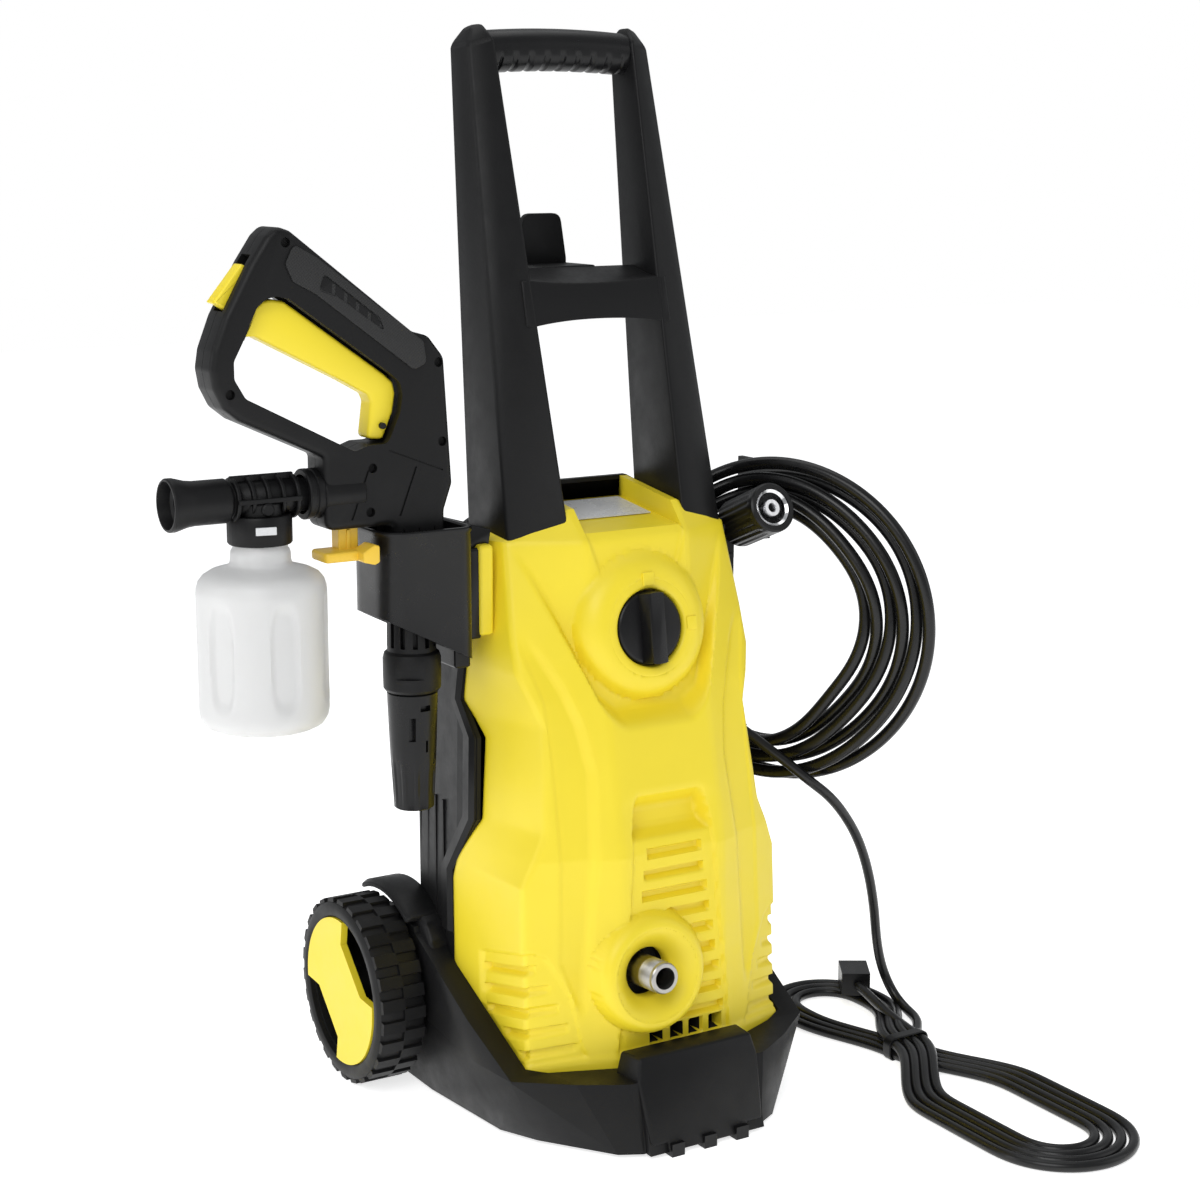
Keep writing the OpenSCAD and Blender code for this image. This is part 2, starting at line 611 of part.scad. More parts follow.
module at_foam() translate([0, gun_y, foam_z]) children();
module at_bottle() translate([bottle_x, gun_y, 0]) children();
rib_count = 5;
body_x = -277.5;
cap_z = 415.5;
cap_top_z = 434;
module foam_body() color([0.05, 0.05, 0.055]) {
    difference() {
        union() {
            at_foam() {
                rod_x(body_x, -228, 11);
                for (i = [0:rib_count - 1]) rod_x(body_x + 2 + 10 * i, body_x + 4.5 + 10 * i, 14);
                rod_x(-228, -218, 10.5);
                rod_x(-219, -196, 8.05);
                rod_x(body_x - 11, body_x + 1, 5);
            }
            at_bottle() rod_z(cap_top_z, 445, 15);
        }
        at_bottle() rod_z(cap_z, cap_top_z, 21.5);
        at_foam() rod_x(-290, -194, 2.5);
        at_bottle() rod_z(cap_top_z - 1, 445, 3);
    }
}
module foam_nozzle() color([0.05, 0.05, 0.055]) at_foam() difference() {
    union() {
        rod_x(-306, body_x - 0.4, 14);
        translate([-317, 0, 0]) rotate([0, 90, 0]) cylinder(r1 = 16.8, r2 = 14, h = 12);
    }
    rod_x(-318, -291, 11.5);
    rod_x(-292, -270, 5 + fit);
}
module foam_cap() color([0.05, 0.05, 0.055]) at_bottle() {
    ring_z(cap_z, 431, 21, 17.9);
    ring_z(430.9, cap_top_z, 21, 3);
}
BOTTLE = [[0, 298], [bottle_r - 10, 298], [bottle_r - 3, 300], [bottle_r, 306], [bottle_r, 388],
    [bottle_r - 3, 396], [bottle_r - 12, 401], [20, 404], [17.4, 408], [17.4, 430]];
module foam_bottle() color([0.93, 0.93, 0.93, 0.8]) at_bottle() rotate_extrude() difference() {
    polygon(concat(BOTTLE, [[0, 430]]));
    polygon(concat([for (p = BOTTLE) [max(p[0] - bottle_wall, 0), p[1] == 298 ? 300 : p[1]]], [[0, 431]]));
}
module suction_tube() color([0.9, 0.9, 0.9, 0.6]) at_bottle() ring_z(304, 440, 2.9, 1.8);

// ---------- hose and lead ----------

module at_coil() translate(COIL) rotate([0, 0, coil_turn]) rotate([0, 90, 0]) children();
module hose_coil() color([0.05, 0.05, 0.055]) at_coil() rotate_extrude($fn = 72)
    translate([coil_r, 0]) circle(r = bundle_r, $fn = 16);
module at_nut() translate(NUT) rotate([90 - nut_tilt, 0, 0]) children();
module connector() difference() {
    union() {
        rod_z(0, 46, 18);
        rod_z(-14, 0.1, 8);
    }
    rod_z(32, 47, 13.5);
}
module hose_nut() color([0.04, 0.04, 0.045]) at_nut() {
    connector();
    ring_z(31.9, 44, 6.5, 3);
}
module at_far_nut() translate(FAR_NUT) rotate([180, 0, 0]) children();
module hose_far_nut() color([0.04, 0.04, 0.045]) at_far_nut() {
    connector();
    ring_z(31.9, 44, 6.5, 3);
}
module hose_tail() color([0.05, 0.05, 0.055]) {
    tube(spline(NUT_TAIL, 3), hose_d / 2, 10);
    tube(spline(FAR_TAIL, 3), hose_d / 2, 10);
}
module lead_tube() color([0.05, 0.05, 0.055]) tube(spline(LEAD_ROUTE, 3), lead_d / 2, 8);
// A layer of the hank from its tie to the far side of one lobe
module lobe(at) linear_extrude(8) hull() {
    translate(TIE) circle(r = 17, $fn = 24);
    translate([at[0], at[1]]) circle(r = at[2], $fn = 32);
}
module lead_hank() color([0.05, 0.05, 0.055]) {
    lobe(NEAR_LOBE);
    lobe(FAR_LOBE);
    translate([TIE[0] - 17, TIE[1] - 20, 0]) cube([34, 40, 16]);
}
module mains_plug() color([0.04, 0.04, 0.045]) translate(PLUG) rotate([0, 0, -32]) {
    translate([-11, -15, 0]) cube([22, 30, 18]);
    for (x = [-6, 3.6]) translate([x, 14.9, 6]) cube([2.4, 16, 6]);
}

base();
front_foot();
front_cover();
rear_cover();
handle_frame();
handle_grip();
cord_hook();
rating_label();
switch_knob();
switch_shaft();
rotary_switch();
outlet_nipple();
pump_head();
pump_casing();
swash_plate();
piston_1();
piston_2();
piston_3();
piston_spring_1();
piston_spring_2();
piston_spring_3();
motor_housing();
motor_bearings();
rotor_shaft();
cooling_fan();
capacitor();
water_inlet();
inlet_pipe();
lead_gland();
wheel_left();
wheel_right();
hub_cap_left();
hub_cap_right();
axle();
axle_clips();
gun_holster();
hose_hanger();
gun_shell_front();
gun_shell_rear();
grip_insert();
gun_tube();
gun_screws();
pivot_pins();
trigger();
trigger_lock();
release_clip();
nozzle_adaptor();
vario_nozzle();
foam_body();
foam_nozzle();
foam_cap();
foam_bottle();
suction_tube();
hose_coil();
hose_tail();
hose_nut();
hose_far_nut();
lead_tube();
lead_hank();
mains_plug();
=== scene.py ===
"""Pressure washer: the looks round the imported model, in the model's own frame.

Helpers take millimetres and write metres. The floor is z = 0 and the front faces -Y.
"""
from math import acos, atan2, copysign, cos, degrees, hypot, pi, radians, sin, tan

import bmesh
import bpy
import numpy as np
from mathutils import Matrix, Vector


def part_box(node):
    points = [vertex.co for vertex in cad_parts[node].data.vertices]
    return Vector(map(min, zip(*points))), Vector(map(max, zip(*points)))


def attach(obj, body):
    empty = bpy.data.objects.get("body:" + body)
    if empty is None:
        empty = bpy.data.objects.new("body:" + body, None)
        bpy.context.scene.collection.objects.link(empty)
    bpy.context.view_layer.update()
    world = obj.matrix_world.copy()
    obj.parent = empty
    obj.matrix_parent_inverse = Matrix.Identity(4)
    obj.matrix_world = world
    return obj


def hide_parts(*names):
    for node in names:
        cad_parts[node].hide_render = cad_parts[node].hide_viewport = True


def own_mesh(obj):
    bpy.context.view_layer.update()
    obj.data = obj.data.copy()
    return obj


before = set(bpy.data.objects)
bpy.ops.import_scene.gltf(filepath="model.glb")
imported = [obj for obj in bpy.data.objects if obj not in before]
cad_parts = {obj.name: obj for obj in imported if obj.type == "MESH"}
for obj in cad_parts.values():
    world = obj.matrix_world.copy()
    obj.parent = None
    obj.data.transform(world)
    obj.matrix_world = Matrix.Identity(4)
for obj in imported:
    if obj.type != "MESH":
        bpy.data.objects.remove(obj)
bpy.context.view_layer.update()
MM = 0.001

# ---------- camera ----------

cam_data = bpy.data.cameras.new("camera")
cam_data.lens = 69.11
cam_data.sensor_width = 36.0
camera = bpy.data.objects.new("camera", cam_data)
camera.location = (-0.8217, -1.2235, 0.6634)
camera.rotation_euler = (radians(78.7), 0.0, radians(-31.66))
bpy.context.collection.objects.link(camera)
bpy.context.scene.camera = camera

# ---------- maths ----------


def smooth(v, lo, hi):
    """0 below lo, 1 above hi, and an S curve between them."""
    t = np.clip((v - lo) / (hi - lo), 0.0, 1.0)
    return t * t * (3.0 - 2.0 * t)


def along(v, stops):
    """The value at v on a broken line of (position, value) stops."""
    return np.interp(v, [s[0] for s in stops], [s[1] for s in stops])


def spline(points, steps):
    """Catmull-Rom points through the given ones."""
    p = [np.array(q, float) for q in points]
    p = [2 * p[0] - p[1]] + p + [2 * p[-1] - p[-2]]
    out = []
    for i in range(1, len(p) - 2):
        a, b, c, d = p[i - 1:i + 3]
        for t in np.arange(steps) / steps:
            out.append(0.5 * (2 * b + (c - a) * t + (2 * a - 5 * b + 4 * c - d) * t ** 2
                              + (3 * b - a - 3 * c + d) * t ** 3))
    return np.array(out + [p[-2]])


def even(points, step):
    """The same path with its points a fixed distance apart."""
    d = np.r_[0, np.cumsum(np.linalg.norm(np.diff(points, axis=0), axis=1))]
    at = np.linspace(0, d[-1], int(d[-1] / step) + 2)
    return np.stack([np.interp(at, d, points[:, k]) for k in range(3)], axis=1)


def unit(v):
    v = np.array(v, float)
    return v / np.linalg.norm(v)


def relax(points, rounds):
    """Softens the corners of a path and keeps its ends."""
    p = points.copy()
    for _ in range(rounds):
        p[1:-1] = 0.25 * p[:-2] + 0.5 * p[1:-1] + 0.25 * p[2:]
    return p


# ---------- materials ----------

MATERIALS = {}


def nodes_of(name):
    """A new material's node tree and its shader."""
    m = bpy.data.materials.new(name)
    m.use_nodes = True
    MATERIALS[name] = m
    return m.node_tree, m.node_tree.nodes["Principled BSDF"]


def texture(t, kind, turn=None, stretch=(1.0, 1.0, 1.0), **inputs):
    """A texture over the object's own coordinates, which may be turned and stretched."""
    at = t.nodes.new("ShaderNodeTexCoord").outputs["Object"]
    if turn:
        mapping = t.nodes.new("ShaderNodeMapping")
        mapping.inputs["Rotation"].default_value = turn
        mapping.inputs["Scale"].default_value = stretch
        t.links.new(at, mapping.inputs["Vector"])
        at = mapping.outputs["Vector"]
    n = t.nodes.new("ShaderNodeTex" + kind)
    for key, value in inputs.items():
        n.inputs[key].default_value = value
    t.links.new(at, n.inputs["Vector"])
    return n.outputs["Distance" if kind == "Voronoi" else "Fac"]


def ramp(t, source, target, *stops):
    """Feeds target with colours at two values of source."""
    r = t.nodes.new("ShaderNodeValToRGB")
    for e, (at, colour) in zip(r.color_ramp.elements, stops):
        e.position = at
        e.color = (*np.minimum(colour, 1), 1.0)
    t.links.new(source, r.inputs["Fac"])
    t.links.new(r.outputs["Color"], target)


def bump(t, b, height, strength, distance):
    n = t.nodes.new("ShaderNodeBump")
    n.inputs["Strength"].default_value = strength
    n.inputs["Distance"].default_value = distance
    t.links.new(height, n.inputs["Height"])
    t.links.new(n.outputs["Normal"], b.inputs["Normal"])


def moulded(name, colour, rough, grain=1400.0, depth=0.12, vary=0.06, spec=0.5):
    """Moulded plastic, rubber or paint: fine spark texture, faint flow marks and uneven gloss."""
    t, b = nodes_of(name)
    c = np.array(colour)
    flow = texture(t, "Noise", Scale=9.0, Detail=4.0, Roughness=0.6)
    ramp(t, flow, b.inputs["Base Color"], (0.35, c * (1 - vary)), (0.65, c * (1 + vary)))
    patch = texture(t, "Noise", Scale=60.0, Detail=5.0, Roughness=0.65)
    ramp(t, patch, b.inputs["Roughness"], (0.3, [rough - 0.06] * 3), (0.7, [rough + 0.07] * 3))
    bump(t, b, texture(t, "Noise", Scale=grain, Detail=2.0, Roughness=0.6), depth, 0.0004)
    b.inputs["Specular IOR Level"].default_value = spec


def metal(name, colour, rough, streak=(400.0, 400.0, 30.0), depth=0.1):
    """Turned or cast metal with fine streaks and stains."""
    t, b = nodes_of(name)
    b.inputs["Metallic"].default_value = 1.0
    c = np.array(colour)
    streaks = texture(t, "Noise", (0.0, 0.0, 0.0), streak, Scale=1.0, Detail=5.0)
    ramp(t, streaks, b.inputs["Base Color"], (0.3, c * 0.78), (0.7, c * 1.08))
    ramp(t, streaks, b.inputs["Roughness"], (0.25, [rough - 0.08] * 3), (0.75, [rough + 0.14] * 3))
    bump(t, b, streaks, depth, 0.0003)


def knurled(name, colour, rough):
    """Soft grip rubber with a fine woven knurl and painted shade in its pits."""
    t, b = nodes_of(name)
    c = np.array(colour)
    cells = texture(t, "Voronoi", (0.0, radians(38), 0.0), (640.0, 640.0, 640.0),
                    Scale=1.0, Randomness=0.0)
    bump(t, b, cells, 0.6, 0.0006)
    # painted shade: the base colour follows the knurl's height, darker in the pits and lighter on the ridges
    ramp(t, cells, b.inputs["Base Color"], (0.1, c * 0.6), (0.6, c * 1.2))
    b.inputs["Roughness"].default_value = rough


def milky(name, colour, rough, through):
    """Blow-moulded translucent plastic with a faintly uneven wall."""
    moulded(name, colour, rough, grain=500.0, depth=0.05, vary=0.015)
    b = MATERIALS[name].node_tree.nodes["Principled BSDF"]
    b.inputs["Transmission Weight"].default_value = through
    b.inputs["Subsurface Weight"].default_value = 0.25
    b.inputs["Subsurface Radius"].default_value = (0.02, 0.02, 0.02)
    b.inputs["Subsurface Scale"].default_value = 0.5
    b.inputs["IOR"].default_value = 1.45


moulded("yellow", (0.865, 0.69, 0.026), 0.42, depth=0.10, vary=0.02)
moulded("amber", (0.86, 0.56, 0.045), 0.38, depth=0.08, vary=0.03)
moulded("black", (0.0062, 0.0062, 0.0066), 0.44, grain=1100.0, depth=0.18, vary=0.12, spec=0.22)
moulded("satin_black", (0.0055, 0.0055, 0.006), 0.30, grain=900.0, depth=0.08, vary=0.12, spec=0.27)
moulded("deep_black", (0.003, 0.003, 0.003), 0.75, depth=0.05)
moulded("tyre", (0.006, 0.006, 0.0063), 0.48, grain=700.0, depth=0.2, vary=0.15, spec=0.24)
moulded("hose_rubber", (0.0055, 0.0055, 0.006), 0.27, grain=600.0, depth=0.05, vary=0.15, spec=0.38)
moulded("lead_rubber", (0.0055, 0.0055, 0.006), 0.30, grain=600.0, depth=0.05, vary=0.15, spec=0.38)
moulded("label", (0.66, 0.67, 0.68), 0.28, grain=300.0, depth=0.02, vary=0.02)
moulded("grey", (0.42, 0.42, 0.43), 0.45)
moulded("dark_paint", (0.05, 0.05, 0.055), 0.45)
knurled("knurl", (0.007, 0.007, 0.0073), 0.6)
metal("steel", (0.60, 0.60, 0.61), 0.30)
metal("nickel", (0.46, 0.45, 0.43), 0.33, streak=(90.0, 260.0, 90.0), depth=0.06)
metal("chrome", (0.80, 0.80, 0.81), 0.14)
metal("brass", (0.72, 0.52, 0.24), 0.32)
metal("alloy", (0.55, 0.56, 0.57), 0.42, streak=(200.0, 200.0, 200.0))
milky("bottle", (0.90, 0.90, 0.895), 0.34, 0.28)
milky("clear", (0.85, 0.85, 0.85), 0.2, 0.8)

# ---------- making pieces ----------


def link(name, data):
    o = bpy.data.objects.new(name, data)
    bpy.context.collection.objects.link(o)
    return o


def shade(mesh, angle):
    mesh.polygons.foreach_set("use_smooth", [True] * len(mesh.polygons))
    mesh.set_sharp_from_angle(angle=radians(angle))


def solid(name, verts, faces, angle=32, weld=False):
    """An object from vertices in millimetres, with its normals outward."""
    mesh = bpy.data.meshes.new(name)
    mesh.from_pydata((np.array(verts, float) * MM).tolist(), [], [list(f) for f in faces])
    bm = bmesh.new()
    bm.from_mesh(mesh)
    if weld:
        bmesh.ops.remove_doubles(bm, verts=bm.verts, dist=1e-5)
        bmesh.ops.dissolve_degenerate(bm, edges=bm.edges, dist=1e-6)
    bmesh.ops.recalc_face_normals(bm, faces=bm.faces)
    bm.to_mesh(mesh)
    bm.free()
    shade(mesh, angle)
    return link(name, mesh)


def bevel(o, width, segments=2, angle=32):
    m = o.modifiers.new("bevel", "BEVEL")
    m.width = width * MM
    m.segments = segments
    m.limit_method = "ANGLE"
    m.angle_limit = radians(angle)
    m.harden_normals = True
    return o


def bake(o):
    """Applies the object's modifiers."""
    dg = bpy.context.evaluated_depsgraph_get()
    mesh = bpy.data.meshes.new_from_object(o.evaluated_get(dg), depsgraph=dg)
    o.modifiers.clear()
    o.data = mesh
    return o


def cut(o, *cutters, op="DIFFERENCE"):
    """Cuts the object with others and removes those."""
    for c in cutters:
        m = o.modifiers.new("cut", "BOOLEAN")
        m.operation = op
        m.solver = "EXACT"
        m.object = c
        bake(o)
        bpy.data.objects.remove(c)
    shade(o.data, 32)
    return o


def join(name, *parts):
    """Several solids as one object."""
    mesh = bpy.data.meshes.new(name)
    bm = bmesh.new()
    for p in parts:
        if p.modifiers:
            bake(p)
        p.data.transform(p.matrix_basis)
        bm.from_mesh(p.data)
        bpy.data.objects.remove(p)
    bm.to_mesh(mesh)
    bm.free()
    shade(mesh, 32)
    return link(name, mesh)


def piece(o, material, body, *replaced, slot=None):
    """Finishes a piece: its material, body and the nodes that it stands for. The slot argument is not used."""
    if o.type == "MESH":
        o.data.materials.clear()
    o.data.materials.append(MATERIALS[material])
    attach(o, body)
    if replaced:
        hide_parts(*replaced)
    return o


def loft(name, rings, angle=32, closed=False):
    """A skin through rings of equally many points, with flat ends or closed on itself."""
    n, m = len(rings[0]), len(rings)
    faces = [(i * n + k, i * n + (k + 1) % n, (i + 1) % m * n + (k + 1) % n, (i + 1) % m * n + k)
             for i in range(m if closed else m - 1) for k in range(n)]
    if not closed:
        faces += [tuple(range(n)), tuple(range((m - 1) * n, m * n))]
    return solid(name, [p for r in rings for p in r], faces, angle)


def flat_ring(outline, axis, at):
    """An outline of the two other axes' coordinates, as points at one place on axis (0, 1 or 2)."""
    return [tuple(np.insert(np.array(q, float), axis, at)) for q in outline]


def prism(name, outline, axis, lo, hi, angle=32):
    return loft(name, [flat_ring(outline, axis, lo), flat_ring(outline, axis, hi)], angle)


def box(name, lo, hi):
    return prism(name, [(lo[0], lo[1]), (hi[0], lo[1]), (hi[0], hi[1]), (lo[0], hi[1])], 2, lo[2], hi[2])


def lathe(name, profile, centre=(0, 0, 0), axis=(0, 0, 1), steps=48, angle=32):
    """Turns (radius, height) points round an axis. A closed profile makes a ring."""
    tilt = Vector(unit(axis)).to_track_quat("Z", "Y").to_matrix()
    closed = profile[0] == profile[-1]
    rings = [[tuple(Vector(centre) + tilt @ Vector((r * cos(a), r * sin(a), h)))
              for a in angles(steps)] for r, h in profile[:len(profile) - closed]]
    return loft(name, rings, angle, closed)


def rod(r, lo, hi, centre=(0, 0, 0), axis=(0, 0, 1), steps=32):
    """A plain rod, to bore with."""
    return lathe("rod", [(0.01, lo), (r, lo), (r, hi), (0.01, hi)], centre, axis, steps)


def angles(steps):
    return np.arange(steps) * 2 * pi / steps


def round_ring(radii, z, x=0.0, y=0.0):
    """A level ring of points round (x, y) from its radii at even angles."""
    return [(x + r * cos(a), y + r * sin(a), z) for r, a in zip(radii, angles(len(radii)))]


def moved(o, place, *turns):
    """Turns a mesh by each (angle, axis), the last one first, and sets it at place."""
    m = Matrix.Translation(Vector(place) * MM)
    for angle, axis in turns:
        m = m @ Matrix.Rotation(angle, 4, axis)
    o.data.transform(m)
    return o


def rounded(points, radius, steps=5):
    """The outline with every corner rounded; a point may carry its own radius as a third number."""
    out = []
    n = len(points)
    for i, p in enumerate(points):
        r = p[2] if len(p) > 2 else radius
        a, b, c = (np.array(points[(i + k) % n][:2], float) for k in (-1, 0, 1))
        u, v = unit(a - b), unit(c - b)
        half = acos(max(-0.9999, min(0.9999, float(u @ v)))) / 2
        d = min(r / tan(half), 0.45 * np.linalg.norm(a - b), 0.45 * np.linalg.norm(c - b))
        for t in np.linspace(0, 1, steps):
            out.append(tuple((1 - t) ** 2 * (b + u * d) + 2 * t * (1 - t) * b + t * t * (b + v * d)))
    return out


def inset(outline, d):
    """The outline moved inward by d."""
    p = np.array(outline, float)
    area = 0.5 * np.sum(p[:, 0] * np.roll(p[:, 1], -1) - np.roll(p[:, 0], -1) * p[:, 1])
    e = np.roll(p, -1, 0) - np.roll(p, 1, 0)
    e /= np.maximum(np.linalg.norm(e, axis=1, keepdims=True), 1e-9)
    n = np.stack([-e[:, 1], e[:, 0]], 1) * (1 if area > 0 else -1)
    return [tuple(q) for q in p + n * d]


def pillow(name, outline, axis, lo, hi, edge, steps=4, angle=40):
    """A prism whose two rims are rounded off by edge."""
    quarter = np.linspace(0, pi / 2, steps + 1)
    rings = [flat_ring(inset(outline, edge * (1 - cos(t))), axis, at + inward * edge * (1 - sin(t)))
             for at, inward, rim in ((lo, 1, quarter[::-1]), (hi, -1, quarter)) for t in rim]
    return loft(name, rings, angle)


def cord_piece(name, points, diameter, material, body, *replaced):
    data = bpy.data.curves.new(name, "CURVE")
    data.dimensions = "3D"
    data.bevel_depth = diameter / 2 * MM
    data.bevel_resolution = 5
    data.use_fill_caps = True
    s = data.splines.new("POLY")
    s.points.add(len(points) - 1)
    s.points.foreach_set("co", np.c_[np.array(points) * MM, np.ones(len(points))].ravel())
    s.use_smooth = True
    return piece(link(name, data), material, body, *replaced)


# ---------- the high-pressure hose ----------

HOSE_D = 9.2
COIL = np.array([154.5, 109.7, 315.0])
COIL_TURN = radians(30)
COIL_SIDE = np.array([sin(COIL_TURN), -cos(COIL_TURN), 0.0])   # in the coil's plane, to the front
COIL_OUT = np.array([cos(COIL_TURN), sin(COIL_TURN), 0.0])     # the coil's axis
NUT_TAIL = [(118, 125.5, 388.4), (118, 133, 388.5), (118, 141.5, 388.0), (117.3, 151, 386.2),
            (116.2, 160, 382.3), (115, 168.2, 376.3)]
FAR_TAIL = [(98, 226, 297.5), (98, 225.5, 308), (98.5, 222, 322), (99.5, 215, 336), (101, 206, 350)]
SLOTS = 7          # places for turns in the bundle
LAYER_OFF = 5.0    # how far every other turn lies to one side of the coil's middle plane


def slot_radius(k, theta):
    """Radius of the hose's k-th place in the bundle: a fan at the front, two layers elsewhere."""
    layer = 9.8 * np.floor(k / 2)
    fan = 62.0 + 9.8 * k
    w = smooth(np.abs((theta + 180) % 360 - 180), 40, 112)
    base = along(theta, [(0, 92), (90, 92), (180, 88), (270, 93), (360, 92)])
    return (1 - w) * fan + w * (base + layer)


def coil_points(first, last):
    """The coil from one angle to another; it changes places at the front."""
    out = []
    for a in np.arange(first, last, 5.0):
        theta = a % 360
        step = smooth(theta if theta < 180 else theta - 360, -46.0, 46.0)
        k = int((a + 180) // 360) - 1
        r = (1 - step) * slot_radius(k, theta) + step * slot_radius(k + 1, theta)
        n = (2 * step - 1) * LAYER_OFF * (-1) ** k
        out.append(COIL + COIL_SIDE * r * cos(radians(a))
                   + np.array([0, 0, 1.0]) * r * sin(radians(a)) + COIL_OUT * n)
    return out


coil = coil_points(155.0, 360.0 * (SLOTS - 1) + 148.0)
hose_path = even(relax(even(spline(NUT_TAIL + coil + FAR_TAIL[::-1], 3), 5.0), 12), 5.0)
hose = cord_piece("hose", hose_path, HOSE_D, "hose_rubber", "hose", "hose_coil", "hose_tail")

# ---------- the mains lead ----------

LEAD_D = 7.4
FLOOR_Z = 4.0
OVER_Z = 12.1
LEAD_ROUTE = [(119.2, 105.7, 243.3), (126, 100, 237), (134, 93, 229), (145, 85, 219), (158, 76, 206),
              (176, 76, 192), (194, 80, 174), (212, 85, 150), (228, 92, 120), (240, 99, 88), (248, 105, 60),
              (255, 108, 38), (260, 105.5, 22), (262.5, 97, 10.5), (263, 84, 4.6), (260, 70, 4), (252, 57.5, 4),
              (241.5, 46.5, 4), (232.5, 36, 4), (226.5, 25, 4)]
TIE = (212.0, 23.0)
COLUMN = 8.2
NEAR = (206.0, -144.0, 27.0, 8.6)      # middle x, y of the turn, inner radius, step
FAR = (220.0, 128.0, 26.0, 8.6)


def column(k):
    return TIE[0] + COLUMN * (k - 1.5)


def strand(x_end, y_end, col, z_tie):
    """From the tie to the start of a turn on the floor."""
    out = []
    reach = abs(y_end - TIE[1])
    for d in np.arange(0.0, reach, 9.0):
        f = smooth(d, 0.0, 88.0)
        h = smooth(d, 26.0, 80.0)
        out.append((column(col) * (1 - f) + x_end * f, TIE[1] + copysign(d, y_end - TIE[1]),
                    z_tie * (1 - h) + FLOOR_Z * h))
    return out


def turn(spec, k, down):
    """Half a circle from the +X side of a lobe to the other."""
    x, y, r, step = spec
    radius = r + step * k
    return [(x + radius * cos(a), y + down * radius * sin(a), FLOOR_Z) for a in np.linspace(0, pi, 11)]


lead_path = list(LEAD_ROUTE)
for i in range(4):
    near_r = NEAR[2] + NEAR[3] * (3 - i)
    lead_path += strand(NEAR[0] + near_r, NEAR[1], 3 - i, FLOOR_Z)[1:]
    lead_path += turn(NEAR, 3 - i, -1)
    lead_path += strand(NEAR[0] - near_r, NEAR[1], i, OVER_Z)[::-1]
    if i < 3:
        far_r = FAR[2] + FAR[3] * i
        lead_path += strand(FAR[0] + far_r, FAR[1], i, OVER_Z)[1:]
        lead_path += turn(FAR, i, 1)
        lead_path += strand(FAR[0] - far_r, FAR[1], 2 - i, FLOOR_Z)[::-1]
PLUG_TAIL = [(226, 34, 12.1), (229, 52, 12.4), (233, 72, 13.0), (237, 92, 14.5), (240, 107, 16.5), (242, 118, 17)]
lead_path += PLUG_TAIL
lead_path = even(relax(even(spline(lead_path, 4), 4.0), 6), 4.0)
lead = cord_piece("lead", lead_path, LEAD_D, "lead_rubber", "chassis", "lead_tube", "lead_hank")

# ---------- front cover ----------

KNOB = np.array([0.0, 43.0, 343.0])
KNOB_TILT = radians(8)
OUTLET = np.array([-20.0, 2.6, 114.0])
OUTLET_TILT = radians(5)
# height, front y, corner half width, corner y, side half width
SECTIONS = np.array([(20, 7.8, 104, 33.6, 107), (27, 8, 104, 34, 107), (195, 13, 102, 42, 106), (300, 36, 96, 58, 104),
                     (402, 61.5, 88, 88, 98)])
# how far along the front corner facet its outer edge lies, against height
WAIST = [(177, 1.0), (213, 0.76), (282, 0.70), (318, 0.97), (345, 1.0)]
FLAT_HALF = 40.0
SIDE_Y = 125.0
SHOULDER_Z = 402.0
RIDGE_X = 44.0
RIDGE_Y = 80.0
RECESS_HALF = 38.0
# y and height of the seam between the two covers
SEAM = np.array([(129, 0), (132, 167), (99, 211), (99, 268), (119, 291), (112, 348), (99, 398), (145, 408),
                 (145, 470)])


def seam_y(z):
    return float(np.interp(z, SEAM[:, 1], SEAM[:, 0]))


def section(z):
    return [float(np.interp(z, SECTIONS[:, 0], SECTIONS[:, k])) for k in range(1, 5)]


def side_x(z, y):
    """Half width of the housing at a height and depth behind the side's edge."""
    return section(z)[3] - 0.1 * max(y - SIDE_Y, 0)


def half_line(z, end_y):
    """Points from the middle of the front, round the corner and along the side to end_y."""
    front, corner_x, corner_y, at_side = section(z)
    f = along(z, WAIST)
    corner = (FLAT_HALF + (corner_x - FLAT_HALF) * f, front + (corner_y - front) * f)
    if end_y > SIDE_Y:
        return np.array([(0.0, front), (FLAT_HALF, front), corner, (at_side, SIDE_Y), (side_x(z, end_y), end_y)])
    t = (end_y - corner[1]) / (SIDE_Y - corner[1])
    return np.array([(0.0, front), (FLAT_HALF, front), corner, (corner[0] + (at_side - corner[0]) * t, end_y)])


CREST_COLS = np.r_[np.linspace(0, 37.7, 26), 38.2, 40.0]
CORNER_COLS = np.linspace(0, 1, 42)[1:]
SIDE_COLS = np.linspace(0, 1, 34)[1:]


def cover_row(z, end_y):
    """x, y and arc length of one row's right half, with the corners eased."""
    line = half_line(z, end_y)
    row = [(x, line[0][1]) for x in CREST_COLS]
    row += [tuple(line[1] + (line[2] - line[1]) * t) for t in CORNER_COLS]
    side = line[2:]
    d = np.r_[0, np.cumsum(np.linalg.norm(np.diff(side, axis=0), axis=1))]
    row += [(np.interp(t * d[-1], d, side[:, 0]), np.interp(t * d[-1], d, side[:, 1])) for t in SIDE_COLS]
    row = np.array(row)
    arc = np.r_[0, np.cumsum(np.linalg.norm(np.diff(row, axis=0), axis=1))]
    eased = row.copy()
    for at, reach in ((FLAT_HALF, 5.0), (arc[len(CREST_COLS) + len(CORNER_COLS) - 1], 5.0)):
        w = np.clip(1 - np.abs(arc - at) / reach, 0, 1)
        lo, hi = [np.stack([np.interp(arc + d, arc, row[:, j]) for j in (0, 1)], 1) for d in (-reach, reach)]
        eased += (w ** 2)[:, None] * 0.5 * ((lo + hi) / 2 - row)
    return eased[:, 0], eased[:, 1], arc


def shear(arc):
    """How much lower the louvres run at an arc length from the middle."""
    return 0.22 * np.maximum(arc - 106, 0) - 0.10 * np.maximum(106 - arc, 0) * smooth(arc, 48, 72)


def below(v, lo, hi):
    """1 below lo, 0 above hi, and an S curve between them."""
    return 1 - smooth(v, lo, hi)


